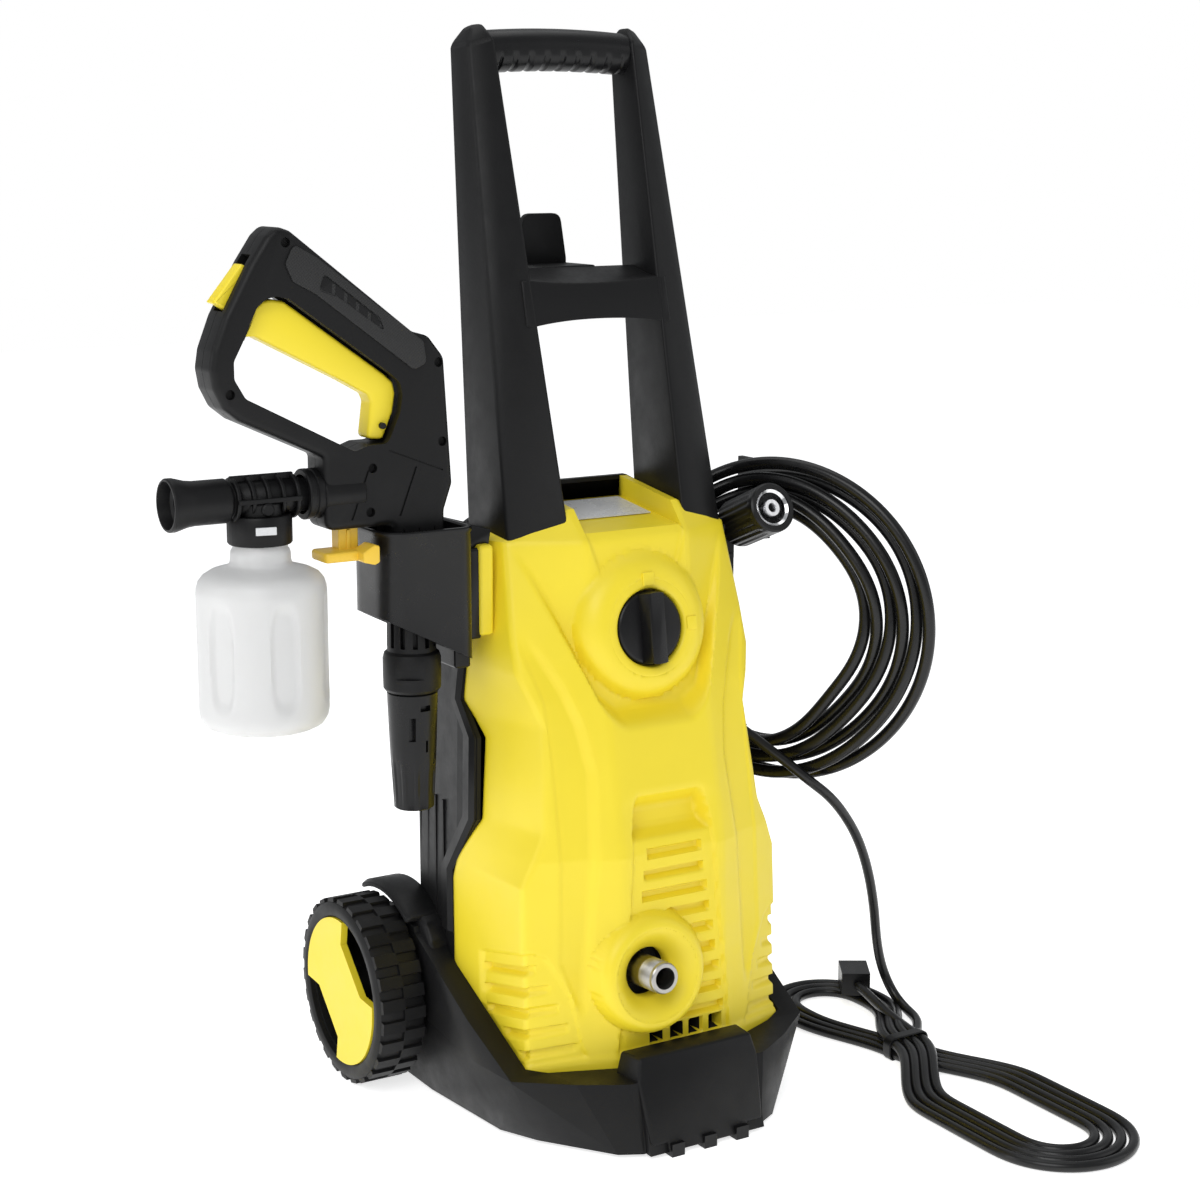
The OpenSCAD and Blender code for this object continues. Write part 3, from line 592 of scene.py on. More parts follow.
def inside(v, lo, hi, soft=1.2):
    return smooth(v, lo - soft, lo + soft) * below(v, hi - soft, hi + soft)


def cover_relief(x, y, z, arc):
    """The surface's y after the front's features, and how far it sinks along its normal."""
    ax = np.abs(x)
    # valley from the shoulders down to the pocket under the switch
    half = along(z, [(280, 34), (300, 44), (320, 52), (350, 64), (381, 77), (400, 87)])
    low = 280 + 10 * smooth(ax, 24, 42)
    depth = along(z, [(276, 16.0), (292, 15.0), (330, 11.0), (398, 0.0)])
    inward = depth * smooth(z, low - 2.0, low + 12.0) * below(ax, half - 4.5, half + 1.5)
    # strip that leads from the switch up to the label recess
    strip = along(z, [(372, 27), (404, 38)])
    inward += 2.0 * below(ax, strip - 1.2, strip + 1.2) * smooth(z, 368, 376)
    # sunken plate with the slots, its sloping flanks, and the scoop above it
    inner = along(z, [(60, 45), (154, 35), (210, 31), (232, 26)])
    outer = along(z, [(60, 96), (76, 92), (153, 67), (221, 44), (236, 38)])
    off = np.abs(x - 1)
    flank = 1.5 * (1 - np.clip((off - inner) / (outer - inner), 0, 1)) + 2.6 * below(off, inner - 1.0, inner + 1.4)
    inward += flank * smooth(z, 56, 62) * below(z, 226, 236)
    mouth = along(z, [(205, 32), (236, 27)])
    inward += 9.5 * below(off, mouth - 5.0, mouth + 1.0) * smooth(z, 203.5, 211) * below(z, 221, 236)
    from_outlet = np.hypot(x - OUTLET[0], z - OUTLET[2])
    for i in range(9):
        mid = 194.7 - 14.5 * i
        reach = 21.0 + 2.2 * i
        inward += (4.8 * below(np.abs(x - 2), reach - 0.8, reach + 0.8) * smooth(z, mid - 4.2, mid - 1.4)
                   * below(z, mid + 2.4, mid + 3.6) * smooth(from_outlet, 42.5, 44.5))
    # long groove down each front corner
    near = along(z, [(85, 68), (113, 65), (182, 59), (252, 53), (283, 58), (307, 67), (342, 86), (352, 92)])
    far = along(z, [(80, 70), (95, 73), (125, 84), (250, 81), (300, 82), (330, 92), (352, 97)])
    fall = 1 - np.clip((arc - near) / np.maximum(far - near, 1), 0, 1)
    inward += ((1.0 + 3.4 * fall) * smooth(arc, near - 2.5, near + 5.0) * below(arc, far - 1.0, far + 1.0)
               * smooth(z, 84, 100) * below(z, 322, 346))
    # louvre panels round the lower corners
    lift = z + shear(arc)
    edge = along(lift, [(50, 63), (62, 70), (100, 78), (128, 94), (138, 112)])
    sunk = 1.8 * smooth(arc, edge - 1.0, edge + 1.0) * inside(lift, 56, 133) * below(arc, 163, 165.5)
    for i, (lo, hi) in enumerate(((101, 160), (92, 160), (86, 158), (80, 140), (74, 120))):
        mid = 121.5 - 14.6 * i
        sunk = sunk + (4.4 * along(arc, [(lo, 0.35), (112, 0.8), (130, 1.0)]) * inside(arc, lo, hi, 0.8)
                       * smooth(lift, mid - 4.4, mid - 0.6) * below(lift, mid + 2.2, mid + 3.4))
    # comb of openings above the bumper
    for mid in (-14, 2, 18, 34):
        inward += 12.0 * below(np.abs(x - mid), 3.9, 4.9) * inside(z, 62, 72.4, 0.6)
    y_new = y + inward
    # swelling round the switch, and the collar round the outlet
    r = np.hypot(x, (z - KNOB[2]) / cos(KNOB_TILT))
    t = np.clip((r - 32.0) / 19.0, 0, 1)
    ring = KNOB[1] + (z - KNOB[2]) * tan(KNOB_TILT) + 19.0 * (1 - np.sqrt(1 - t * t))
    y_new = np.where(r < 51.0, np.minimum(y_new, ring), y_new)
    r = np.hypot(x - OUTLET[0], (z - OUTLET[2]) / cos(OUTLET_TILT))
    t = np.clip((r - 33.5) / 9.0, 0, 1)
    ring = OUTLET[1] + (z - OUTLET[2]) * tan(OUTLET_TILT) + 15.0 * (1 - np.sqrt(1 - t * t))
    return np.where(r < 42.5, np.minimum(y_new, ring), y_new), sunk


def facing(tilt):
    """Outward normal of a front face that leans back by tilt."""
    return (0.0, -cos(tilt), sin(tilt))


def cover_rows():
    """Rows of points up the front and over the shoulders to the handle's foot."""
    rows = []
    for z in np.r_[21.0:56.0:3.0, 56.0:206.0:1.15, 206.0:SHOULDER_Z + 0.1:2.8]:
        x, y, arc = cover_row(z, seam_y(z))
        zz = z - shear(arc) * smooth(z, 24, 52) * below(z, 140, 180)
        tx, ty = np.gradient(x), np.gradient(y)
        n = np.maximum(np.hypot(tx, ty), 1e-6)
        halves = []
        for side in (-1, 1):
            y_new, sunk = cover_relief(side * x, y, zz, arc)
            halves.append(np.stack([side * (x - sunk * ty / n), y_new + sunk * tx / n, zz], 1))
        rows.append(np.vstack([halves[0][::-1], halves[1][1:]]))
    last = rows[-1]
    for t in np.r_[np.linspace(0.04, 0.5, 12), np.linspace(0.55, 1.0, 8)]:
        up = min(t / 0.5, 1.0)
        back = max((t - 0.5) / 0.5, 0.0)
        row = last.copy()
        for i, (x, y, z) in enumerate(last):
            ax = abs(x)
            if ax < RECESS_HALF:
                row[i] = (x, 64.5 + t * 80.5, 406.5 + 10.5 * (t - 0.04))
                continue
            if ax <= FLAT_HALF + 0.5:
                goal = (ax + (RIDGE_X - FLAT_HALF) * (ax - RECESS_HALF) / 2, RIDGE_Y + 65 * back)
            else:
                goal = (RIDGE_X, RIDGE_Y + 65 * max(np.clip((y - 84) / (seam_y(SHOULDER_Z) - 84), 0, 1), back))
            top = 421.5 + 9.0 * (goal[1] - RIDGE_Y) / 65
            row[i] = (copysign(ax + (goal[0] - ax) * up, x), y + (goal[1] - y) * up, z + (top - z) * up)
        rows.append(row)
    return rows


def front_cover():
    """The yellow skin, open round the switch and the outlet, with painted shade inside the comb."""
    rows = cover_rows()
    n = len(rows[0])
    verts = np.vstack(rows)
    faces = []
    for i in range(len(rows) - 1):
        for k in range(n - 1):
            c = (verts[i * n + k] + verts[(i + 1) * n + k + 1]) / 2
            from_knob = hypot(c[0], c[2] - KNOB[2])
            if from_knob > 31 and hypot(c[0] - OUTLET[0], c[2] - OUTLET[2]) > 32:
                faces.append((i * n + k, i * n + k + 1, (i + 1) * n + k + 1, (i + 1) * n + k))
    o = solid("front_cover_skin", verts, faces, angle=38, weld=True)
    wall = o.modifiers.new("wall", "SOLIDIFY")
    wall.thickness = 2.4 * MM
    wall.offset = -1.0
    piece(o, "yellow", "chassis", "front_cover")
    # painted shade: the floors of the comb's openings are deep black to stand for the dark inside them
    o.data.materials.append(MATERIALS["deep_black"])
    for f in o.data.polygons:
        c = np.array(f.center) / MM
        if 61.0 < c[2] < 73.0 and -19 < c[0] < 39 and c[1] > 18:
            f.material_index = 1


def cover_fittings():
    """The switch's bezel, the outlet with its collar, and the frame behind the holster."""
    bezel = lathe("bezel", [(34.5, -1.6), (33.2, -0.15), (32, 0.12), (28.5, 0.12), (27.2, -0.3), (26.3, -1.4),
                            (26, -13), (8, -13), (8, -16), (28.5, -16), (29, -3), (34.5, -1.6)],
                  KNOB, facing(KNOB_TILT), 96, 40)
    piece(bezel, "yellow", "chassis")
    flare = [(r, -13.0 * ((33 - r) / 16) ** 1.6) for r in np.linspace(32, 17, 12)]
    collar = lathe("collar", [(36, -2.2), (34.8, -0.35), (33.6, 0.12), (32.8, 0.12)] + flare
                   + [(17, -21), (19.5, -21), (20, -14), (30, -4), (36, -2.2)], OUTLET, facing(OUTLET_TILT), 96, 40)
    piece(collar, "yellow", "chassis")
    cup = lathe("collar_cup", [(18.5, -20.5), (18.5, -30), (11.5, -30), (11.5, -31.5), (20, -31.5), (20, -20.5),
                               (18.5, -20.5)], OUTLET, facing(OUTLET_TILT))
    piece(cup, "deep_black", "chassis")
    thread = [p for k in range(10) for p in ((11.0, 6.4 - 1.5 * k), (10.45, 5.7 - 1.5 * k))]
    stem = [(11, -9.5), (11, -30), (7.5, -30), (7.5, 9)]
    nipple = lathe("nipple", [(7.5, 9), (9.9, 9), (10.6, 8.2)] + thread + stem, OUTLET, facing(OUTLET_TILT), 64, 24)
    piece(nipple, "nickel", "chassis", "outlet_nipple")
    for deg, length in ((90, 5.0), (0, 4.0)):
        c, si = cos(radians(deg)), sin(radians(deg))
        plan = rounded([(-4.5, -4), (4.5, -4), (4.5, length), (-4.5, length)], 1.2)
        tab = pillow("bezel_tab", plan, 2, -2, 1.0, 0.5)
        moved(tab, KNOB + np.array([c * 32, si * 32 * sin(KNOB_TILT), si * 32]),
              (pi / 2 - KNOB_TILT, "X"), (radians(deg - 90), "Z"))
        piece(tab, "yellow", "chassis")
    piece(bevel(box("holster_frame", (-107.5, 86, 341), (-96, 130, 402)), 3.0, 3), "yellow", "chassis")


front_cover()
cover_fittings()

# ---------- rear cover, base ----------


def seam_strip(side):
    """Faceted band that stands out along the seam on one side."""
    rings = []
    for z in (122, 167, 211, 240, 268, 291, 348, 396):
        y = seam_y(z)
        x = side_x(z, y)
        rings.append([(side * (x - 3), y + 0.6, z), (side * (x + 0.4), y + 0.6, z), (side * (x + 2.6), y + 5, z),
                      (side * (x + 1.6), y + 15, z), (side * (x - 4), y + 22, z)])
    return loft("strip", rings, 20)


def side_ribs(side):
    parts = []
    for y in (146, 160, 174, 188):
        x = side_x(110, y)
        parts.append(box("rib", (side * (x - 3), y - 1.1, 92), (side * (x + 1.6), y + 1.1, 214)))
    for z in (128, 156, 184, 208):
        across = [(side_x(z, y) + proud, y) for y, proud in ((142, 0.8), (188, 0.8), (188, -6), (142, -6))]
        parts.append(loft("rib", [[(side * x, y, level) for x, y in across] for level in (z - 1, z + 1)]))
    return parts


for side, label in ((-1, "left"), (1, "right")):
    piece(join("rear_side_" + label, seam_strip(side), *side_ribs(side)), "black", "chassis")

BASE_LEDGE = 121.0
AXLE = np.array([0.0, 201.5, 67.0])


def base():
    """The base with its own bumper plate at the front and a rounded arch over each wheel."""
    o = link("base_body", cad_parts["base"].data.copy())
    o.matrix_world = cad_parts["base"].matrix_world
    cut(o, box("ledge", (-50, -40, 51.2), (50, 7.2, 70)),
        *[box("arch", (side * 88, 150, BASE_LEDGE), (side * 140, 230, 165)) for side in (-1, 1)])
    bevel(o, 2.2, 3, 28)
    front = [(-44.5, 9.5), (-32, 9.5), (-32, 3.2), (32, 3.2), (32, 9.5), (44.5, 9.5), (48, 51), (44.5, 65.8),
             (-44.5, 65.8), (-48, 51)]
    plate = loft("plate", [[(x, -31.8 + 0.28 * (z - 3), z) for x, z in front],
                           [(x * (1.06 if z > 50 else 1), 6.6, min(z, 65)) for x, z in front]], angle=30)
    arches = [bevel(plate, 1.8, 3, 30)]
    for side in (-1, 1):
        rings = []
        for deg in np.linspace(66, 126, 13):
            c, si = cos(radians(deg)), sin(radians(deg))
            rings.append([(side * x, AXLE[1] + r * c, AXLE[2] + r * si)
                          for x, r in ((102, 69.5), (129, 69.5), (129, 72.5), (124, 75), (102, 75))])
        arches.append(bevel(loft("arch", rings, 30), 1.6, 3, 28))
        wing = [(142, 88), (142, 112), (150, 124), (166, 131), (186, 138), (200, 139), (200, 100)]
        arches.append(bevel(prism("wing", wing, 0, side * 101, side * 119), 3.0, 3, 30))
    piece(join("base_shell", o, *arches), "black", "chassis", "base")


base()

# ---------- handle ----------


def leg(side):
    low = np.array([(85, 89, 410), (46, 77, 422.6), (46, 140, 431), (87, 140, 407)], float)
    top = np.array([(71, 161.5, 726), (54, 154.5, 730), (54, 185, 730), (71, 188, 726)], float)
    peak = np.array([(65, 169, 737.5), (57.5, 165, 740), (57.5, 178, 740), (65, 180, 737)], float)
    low += (low - top) * 0.035
    return bevel(loft("leg", [[(side * x, y, z) for x, y, z in r] for r in (low, top, peak)], 50), 2.6, 3, 16)


def crossbar():
    rings = []
    for x in np.linspace(-57, 57, 33):
        k = min(abs(x) / 50, 1) ** 2.2
        zb, zt = 544.5 - 3.5 * k, 568.5 + 3 * k
        rise = 0.25 * (zt - 541)
        rings.append([(x, 108 + 0.25 * (zb - 541), zb), (x, 108 + rise, zt), (x, 119 + rise, zt + 1.2), (x, 150, 578),
                      (x, 150, 574.5), (x, 122, zt - 6), (x, 115, zb + 1.5)])
    return bevel(loft("crossbar", rings, 35), 1.2, 2, 30)


def grip():
    rings = []
    for x in np.linspace(-56, 56, 141):
        ring = []
        padded = abs(x) < 48.6
        pad = below(abs(((x + 48.8) % 12.2) - 6.1), 3.6, 4.6) if padded else 0.0
        for a in angles(48):
            low_front = smooth(-degrees(atan2(sin(a), -cos(a))), 8, 20) * (sin(a) < 0)
            r = 1.0 + 0.10 * pad * low_front - 0.05 * low_front * padded
            ring.append((x, 169 + 13.4 * r * cos(a), 721.5 + 2.2 * (1 - (x / 56) ** 2) + 13.9 * r * sin(a)))
        rings.append(ring)
    return loft("grip", rings, 50)


piece(join("handle", leg(-1), leg(1), crossbar()), "black", "chassis", "handle_frame")
piece(grip(), "satin_black", "chassis", "handle_grip", slot="soft_black")
plate = rounded([(-20, 574), (21, 574), (15, 613), (-15, 613)], 7)
hook = join("hook", pillow("hook_plate", plate, 1, 186, 191.5, 1.2),
            bevel(box("hook_shelf", (-20, 149, 573.5), (21, 191, 578.5)), 1.2),
            prism("hook_tongue", [(149, 576), (176, 576), (149, 568)], 0, -5, 9))
piece(hook, "black", "chassis", "cord_hook")

# ---------- switch ----------


def knob():
    disc = lathe("knob", [(3, -11.5), (25, -11.5), (25, -2.5), (24, -1.2), (22.5, -0.8), (0.01, -0.8)],
                 angle=30, steps=72)
    bar = prism("bar", [(-8.5, -24.6), (8.5, -24.6), (8.5, 24.6), (-8.5, 24.6)], 2, -3, 9)
    for v in bar.data.vertices:
        if v.co.z > 0:
            v.co.x *= 0.66
            v.co.y *= 0.985
    bar = cut(bar, lathe("round", [(0.01, -5), (24.6, -5), (23.9, 12), (0.01, 12)], steps=72), op="INTERSECT")
    return moved(join("knob", disc, bevel(bar, 1.4, 3, 30)), KNOB, (pi / 2 - KNOB_TILT, "X"))


piece(knob(), "satin_black", "switch", "switch_knob")

# ---------- wheels ----------

TYRE = [(5.2, 128), (14, 128), (14, 139), (53, 139), (53, 126), (55, 124.6), (61, 124.6), (64, 127),
        (64.8, 130), (64.8, 156), (63.6, 160), (60.5, 161.6), (56, 161.8), (53.6, 160.6), (53.4, 157),
        (51, 157), (51, 142), (14, 142), (14, 154), (5.2, 154), (5.2, 128)]


def tread(side):
    """Two staggered rows of blocks round the tyre."""
    verts, faces = [], []
    count = 26
    for row, (x0, x1) in enumerate(((126.5, 143.5), (142.0, 160.0))):
        for i in range(count):
            mid = (i + 0.5 * row) * 2 * pi / count
            first = len(verts)
            for r, grow in ((64.0, 1.0), (66.9, 0.82)):
                w = 0.32 * 2 * pi / count * grow
                s = 0.6 * (1 - grow) * 4
                for x, a in ((x0 + s, mid - w), (x1 - s, mid - w), (x1 - s, mid + w), (x0 + s, mid + w)):
                    verts.append((side * x, AXLE[1] + r * cos(a), AXLE[2] + r * sin(a)))
            faces += [tuple(first + k for k in f) for f in ((0, 3, 2, 1), (4, 5, 6, 7), (0, 1, 5, 4), (1, 2, 6, 5),
                                                            (2, 3, 7, 6), (3, 0, 4, 7))]
    return solid("tread", verts, faces, 20)


for side, label in ((-1, "left"), (1, "right")):
    body = "wheel_" + label[0]
    tyre = lathe("tyre", TYRE, AXLE, (side, 0, 0), 96, 28)
    piece(join("wheel_body_" + label, tyre, tread(side)), "tyre", body, "wheel_" + label)

# ---------- spray gun ----------

GUN_Y = 100.0
GUN = [(-245, 612, 8), (-236, 609, 8), (-153, 544, 9), (-142, 541, 8), (-131, 527, 10), (-126, 445, 8),
       (-132, 428, 8), (-133, 362, 7), (-169, 362, 7), (-169, 421, 5), (-217, 421, 7.5), (-217, 468, 4),
       (-273, 494, 10), (-283, 502, 8), (-289, 514, 8), (-291, 526, 10), (-289, 538, 10), (-281, 558, 14),
       (-263, 590, 16), (-252, 606, 9)]
FINGER_GAP = [(-276, 531), (-276, 520), (-269, 508), (-196, 470.5), (-186, 474), (-173, 474), (-164, 493),
              (-162, 505), (-164, 513), (-171, 519), (-239, 568), (-247, 569.5), (-254, 568), (-260, 563),
              (-270, 542)]
TRIGGER = [(-269, 542), (-258.5, 562.5), (-253, 566.5), (-247, 567.5), (-239, 566), (-171, 517.5), (-165, 512),
           (-163.5, 505), (-165.5, 493), (-173, 476), (-184, 477), (-181, 500), (-183, 505), (-200, 514.5),
           (-259, 545), (-264, 545)]
SCREWS = [(-240, 602), (-136, 524), (-134, 473), (-184, 459), (-186, 431), (-279, 511)]


RIM = 4.6


def shell_half(outer, seam):
    """One half of the gun: flat at the seam, rounded off at its outer rim."""
    plan = rounded(GUN, 6, 7)
    rings = [flat_ring(plan, 1, seam)]
    for t in np.linspace(0, pi / 2, 6):
        y = outer - copysign(RIM * (1 - sin(t)), outer - GUN_Y)
        rings.append(flat_ring(inset(plan, RIM * (1 - cos(t))), 1, y))
    o = loft("gun", rings, 40)
    cut(o, prism("gap", rounded(FINGER_GAP, 6), 1, 0, 200),
        prism("pocket", [(-292, 570), (-266, 600), (-251, 588), (-271, 555)], 1, 93.2, 106.8),
        prism("slit", [(-277, 540), (-264, 567), (-256, 573), (-247, 578), (-237, 578), (-228, 575), (-161, 519),
                       (-159, 500), (-166, 474), (-186, 474)], 1, 91.3, 108.7))
    if outer < GUN_Y:
        lines = [([(x, 366), (x + 0.9, 366), (x + 0.9, 418), (x, 418)], 1.2) for x in (-163, -152, -141)]
        lines += [([(k - 200, 427), (k - 188, 458), (k - 186.5, 458), (k - 198.5, 427)], 1.0) for k in (0, 34)]
        lines.append(([(-172, 470), (-134, 455), (-134, 454), (-172, 469)], 1.0))
        cut(o, *[rod(3.1, -1, 5, (x, outer, z), (0, 1, 0), 20) for x, z in SCREWS],
            *[prism("line", line, 1, outer - 1, outer + depth) for line, depth in lines])
    return bevel(o, 0.9, 2, 50)


piece(shell_half(85.0, 99.8), "black", "gun", "gun_shell_front")
piece(shell_half(115.0, 100.2), "black", "gun", "gun_shell_rear")

INSERT = [(-241, 589), (-235, 601), (-219, 592), (-147, 538), (-145, 524), (-154, 520), (-221, 570),
          (-236, 578)]
INSERT_Y = 83.7
insert = pillow("insert", rounded(INSERT, 4), 1, INSERT_Y, 87, 0.6)
cut(insert, prism("window", rounded([(-216, 583), (-178, 554.5), (-174, 545), (-207, 568), (-219, 572)], 2.5), 1,
                  INSERT_Y - 0.9, INSERT_Y + 0.9))
piece(insert, "knurl", "gun", "grip_insert")
plan = rounded([(-215, 582), (-179, 554.7), (-175, 546.5), (-207, 569), (-218, 573)], 2.2)
window = pillow("insert_window", plan, 1, 84.4, 87, 0.3)
cut(window, *[prism("slot", [(-209.5 + 8 * i, 577 - 6.2 * i), (-207 + 8 * i, 575.2 - 6.2 * i),
                             (-207.6 + 8 * i, 568.2 - 6.0 * i), (-210.1 + 8 * i, 570 - 6.0 * i)], 1, 83, 85.6)
              for i in range(5)])
piece(window, "black", "gun")
piece(pillow("trigger_body", rounded(TRIGGER, 3.5), 1, 92, 108, 2.2), "yellow", "gun_trigger", "trigger")


def lock():
    plan = rounded([(-284, 567), (-265.5, 589.5), (-259.5, 586.5), (-273.5, 560)], 1.6)
    wedge = pillow("lock", plan, 1, 94, 106, 1.4)
    ribs = [prism("rib", [(-284.6 + 2.3 * k, 566.6 + 2.8 * k), (-283.6 + 2.3 * k, 567.8 + 2.8 * k),
                          (-282.3 + 2.3 * k, 566.8 + 2.8 * k), (-283.3 + 2.3 * k, 565.6 + 2.8 * k)], 1, 95.5, 104.5)
            for k in range(4)]
    return join("lock", wedge, *ribs)


piece(lock(), "yellow", "gun_lock", "trigger_lock")
clip = join("clip", bevel(box("post", (-204.5, 94.5, 405), (-190.5, 105.5, 425)), 1.0),
            bevel(box("rib", (-199, 93.6, 406), (-196.4, 96, 420)), 0.5),
            pillow("band", rounded([(-218.5, 84), (-186, 84), (-186, 108), (-218.5, 108)], 4), 2, 400.6, 407.2, 1.8),
            pillow("hook", rounded([(-196, 400.6), (-187.5, 398.4), (-184.2, 400), (-184.2, 410.6), (-188, 411.4),
                                    (-196, 407)], 1.8), 1, 76, 92, 1.2))
piece(clip, "amber", "gun_clip", "release_clip")
SOCKET = (-217, GUN_Y, 444)
socket = lathe("socket", [(12.7, -1), (15.6, -1), (16.2, 0), (16.2, 3.6), (15.4, 4.2), (15.4, 5), (16.2, 5.6),
                          (16.2, 9), (15.4, 9.8), (12.7, 9.8), (12.7, -1)], (-217.5, GUN_Y, 444), (-1, 0, 0))
boss = lathe("boss", [(0.01, 0), (9.6, 0), (10.4, 0.8), (10.4, 27), (9.6, 28), (0.01, 28)], (-217, 93.2, 444),
             (1, 0, 0), 40)
cut(boss, rod(8.3, -2, 30, SOCKET, (1, 0, 0)), box("back", (-230, 93, 430), (-180, 120, 460)))
piece(join("lance_socket", socket, boss), "black", "gun")

# ---------- nozzle ----------

BARREL = (-151, GUN_Y, 0)


def vario():
    rings = []
    for z in (228, 228.8, 232, 240, 250, 258, 262, 270, 285, 300, 304, 306.5, 307.2):
        r = along(z, [(228, 13.3), (262, 15.2), (300, 16.6), (308, 16.8)])
        if z == 228:
            r -= 0.9
        if z > 307:
            r -= 0.8
        flute = 0.9 * smooth(z, 229, 233) * below(z, 257, 263)
        radii = r - flute * smooth(np.abs(np.sin(5 * angles(96))), 0.45, 0.62)
        rings.append(round_ring(radii, z, *BARREL[:2]))
    body = loft("vario", rings, 30)
    cut(body, rod(8.5, 226, 244, BARREL),
        *[box("window", (BARREL[0] + x, 78, z0), (BARREL[0] + x + w, 88.0, z1)) for x, w, z0, z1 in
          ((-9.5, 4.0, 276, 292), (-2.5, 7.5, 296, 300), (1.5, 1.6, 268, 276))])
    sleeve = lathe("sleeve", [(3, 307), (5.85, 307), (5.85, 330), (3, 330), (3, 307)], BARREL, steps=32)
    return join("vario", body, sleeve)


def adaptor():
    o = lathe("adaptor", [(6.2, 308), (17.5, 308), (19, 310), (19.2, 318), (19.2, 330), (18.2, 333.5), (16.2, 335),
                          (15.8, 362), (8.2, 362), (8.2, 341), (6.2, 341), (6.2, 308)], BARREL, steps=72)
    slots = [moved(box("slot", (11.5, -1.6, 338), (20, 1.6, 357)), BARREL, (radians(30 * k + 12), "Z"))
             for k in range(12)]
    return cut(o, *slots, moved(box("gap", (16.6, -10, 318), (22, 10, 325)), BARREL, (radians(-122), "Z")))


piece(vario(), "satin_black", "vario", "vario_nozzle")
piece(adaptor(), "black", "gun", "nozzle_adaptor")

# ---------- foam sprayer ----------

FOAM_Z = 444.0
BOTTLE = (-256.0, GUN_Y, 0)
BODY_X = -277.5
DENT_TURN = 153.16         # where the bottle's six dents start, in degrees


def foam_body():
    along_x = dict(centre=(0, GUN_Y, FOAM_Z), axis=(1, 0, 0), steps=48)
    core = lathe("core", [(2.5, BODY_X - 11), (5, BODY_X - 11), (5, BODY_X), (11, BODY_X), (11, -229), (10.4, -228),
                          (10.4, -223), (12.2, -222), (12.2, -218.6), (8, -218.6), (8, -196), (2.5, -196),
                          (2.5, BODY_X - 11)], **along_x)
    fins = [lathe("fin", [(9, x), (13.8, x), (14.3, x + 0.6), (14.3, x + 1.9), (13.8, x + 2.5), (9, x + 2.5),
                          (9, x)], **along_x) for x in np.arange(5) * 10.0 + BODY_X + 2]
    ridge = bevel(box("ridge", (BODY_X + 2, 84.6, 442.5), (-233, 87.6, 445.5)), 0.5)
    top = bevel(box("top", (BODY_X + 2, 98.6, 455), (-233, 101.4, 459)), 0.5)
    boss = lathe("boss", [(0.01, 0), (4.2, 0), (4.2, 2.6), (3.2, 3.4), (0.01, 3.4)], (-256.5, 86.8, 438.3),
                 (0, -1, 0), 24)
    neck = lathe("neck", [(3, 434), (15, 434), (15, 441), (12, 446), (3, 446), (3, 434)], BOTTLE)
    return join("foam", core, *fins, ridge, top, boss, neck)


def foam_tip():
    return lathe("foam_tip", [(15.0, -317.3), (16.1, -317.3), (16.8, -316.4), (16.8, -313), (14.6, -305),
                              (14, -300), (14, -279.2), (13.2, -278), (5.3, -278), (5.3, -291), (11.3, -291),
                              (11.3, -308), (13.4, -309.5), (14.2, -314), (15.0, -317.3)],
                 (0, GUN_Y, FOAM_Z), (1, 0, 0), 64)


def foam_cap():
    ribs = 0.5 * (np.arange(72) % 2)
    rings = [round_ring(r - ribs * (416 < z < 433), z, *BOTTLE[:2])
             for r, z in ((19.7, 415.6), (20.5, 416.6), (20.5, 432.2), (19.5, 433.8))]
    return cut(loft("cap", rings, 20), rod(17.95, 410, 431, BOTTLE, steps=48), rod(3, 430, 440, BOTTLE, steps=24))


def bottle():
    outer = [(0.0, 299.5), (26, 299.2), (33, 298), (37.5, 300), (40.2, 304.5), (41, 309)]
    outer += [(41.0, z) for z in np.arange(311.0, 387.0, 2.0)]
    outer += [(40.7, 388), (39.4, 392.2), (36.5, 395.8), (32, 398.4), (26, 400.2), (21.5, 401.5), (19.7, 403),
              (19.1, 405.6), (19.1, 409.4), (18.4, 411.6), (17.4, 412.8), (17.4, 430)]
    a = angles(168)
    phase = (np.degrees(a) + DENT_TURN) % 60
    off = np.minimum(phase, 60 - phase)
    rings = []
    for wall, profile in ((0.0, outer), (1.6, outer[::-1])):
        for r, z in profile:
            oval = ((off / 14.0) ** 3.4 + (abs(z - 348) / 36.5) ** 3.4) ** (1 / 3.4)
            dent = 2.6 * below(oval, 0.74, 1.0) if r > 40 else 0.0
            square = 1 + 0.012 * np.cos(4 * a + 0.6) * (r > 36)
            lift = wall * (r < 40.5) * (1 if z < 310 else (-0.6 if z < 405 else 0))
            rings.append(round_ring(np.maximum(r * square - dent - wall, 0.01), z + lift, *BOTTLE[:2]))
    return loft("bottle", rings, 45)


piece(foam_body(), "black", "foam_sprayer", "foam_body")
piece(foam_tip(), "black", "foam_tip", "foam_nozzle")
piece(foam_cap(), "black", "foam_sprayer", "foam_cap")
piece(bottle(), "bottle", "bottle", "foam_bottle")
mark = moved(bevel(box("cap_window", (-6.5, -20.9, 423.4), (6.5, -19.1, 428.4)), 0.4), BOTTLE,
             (radians(-11.6), "Z"))
piece(mark, "label", "foam_sprayer", slot="bottle_plastic")

# ---------- holster ----------


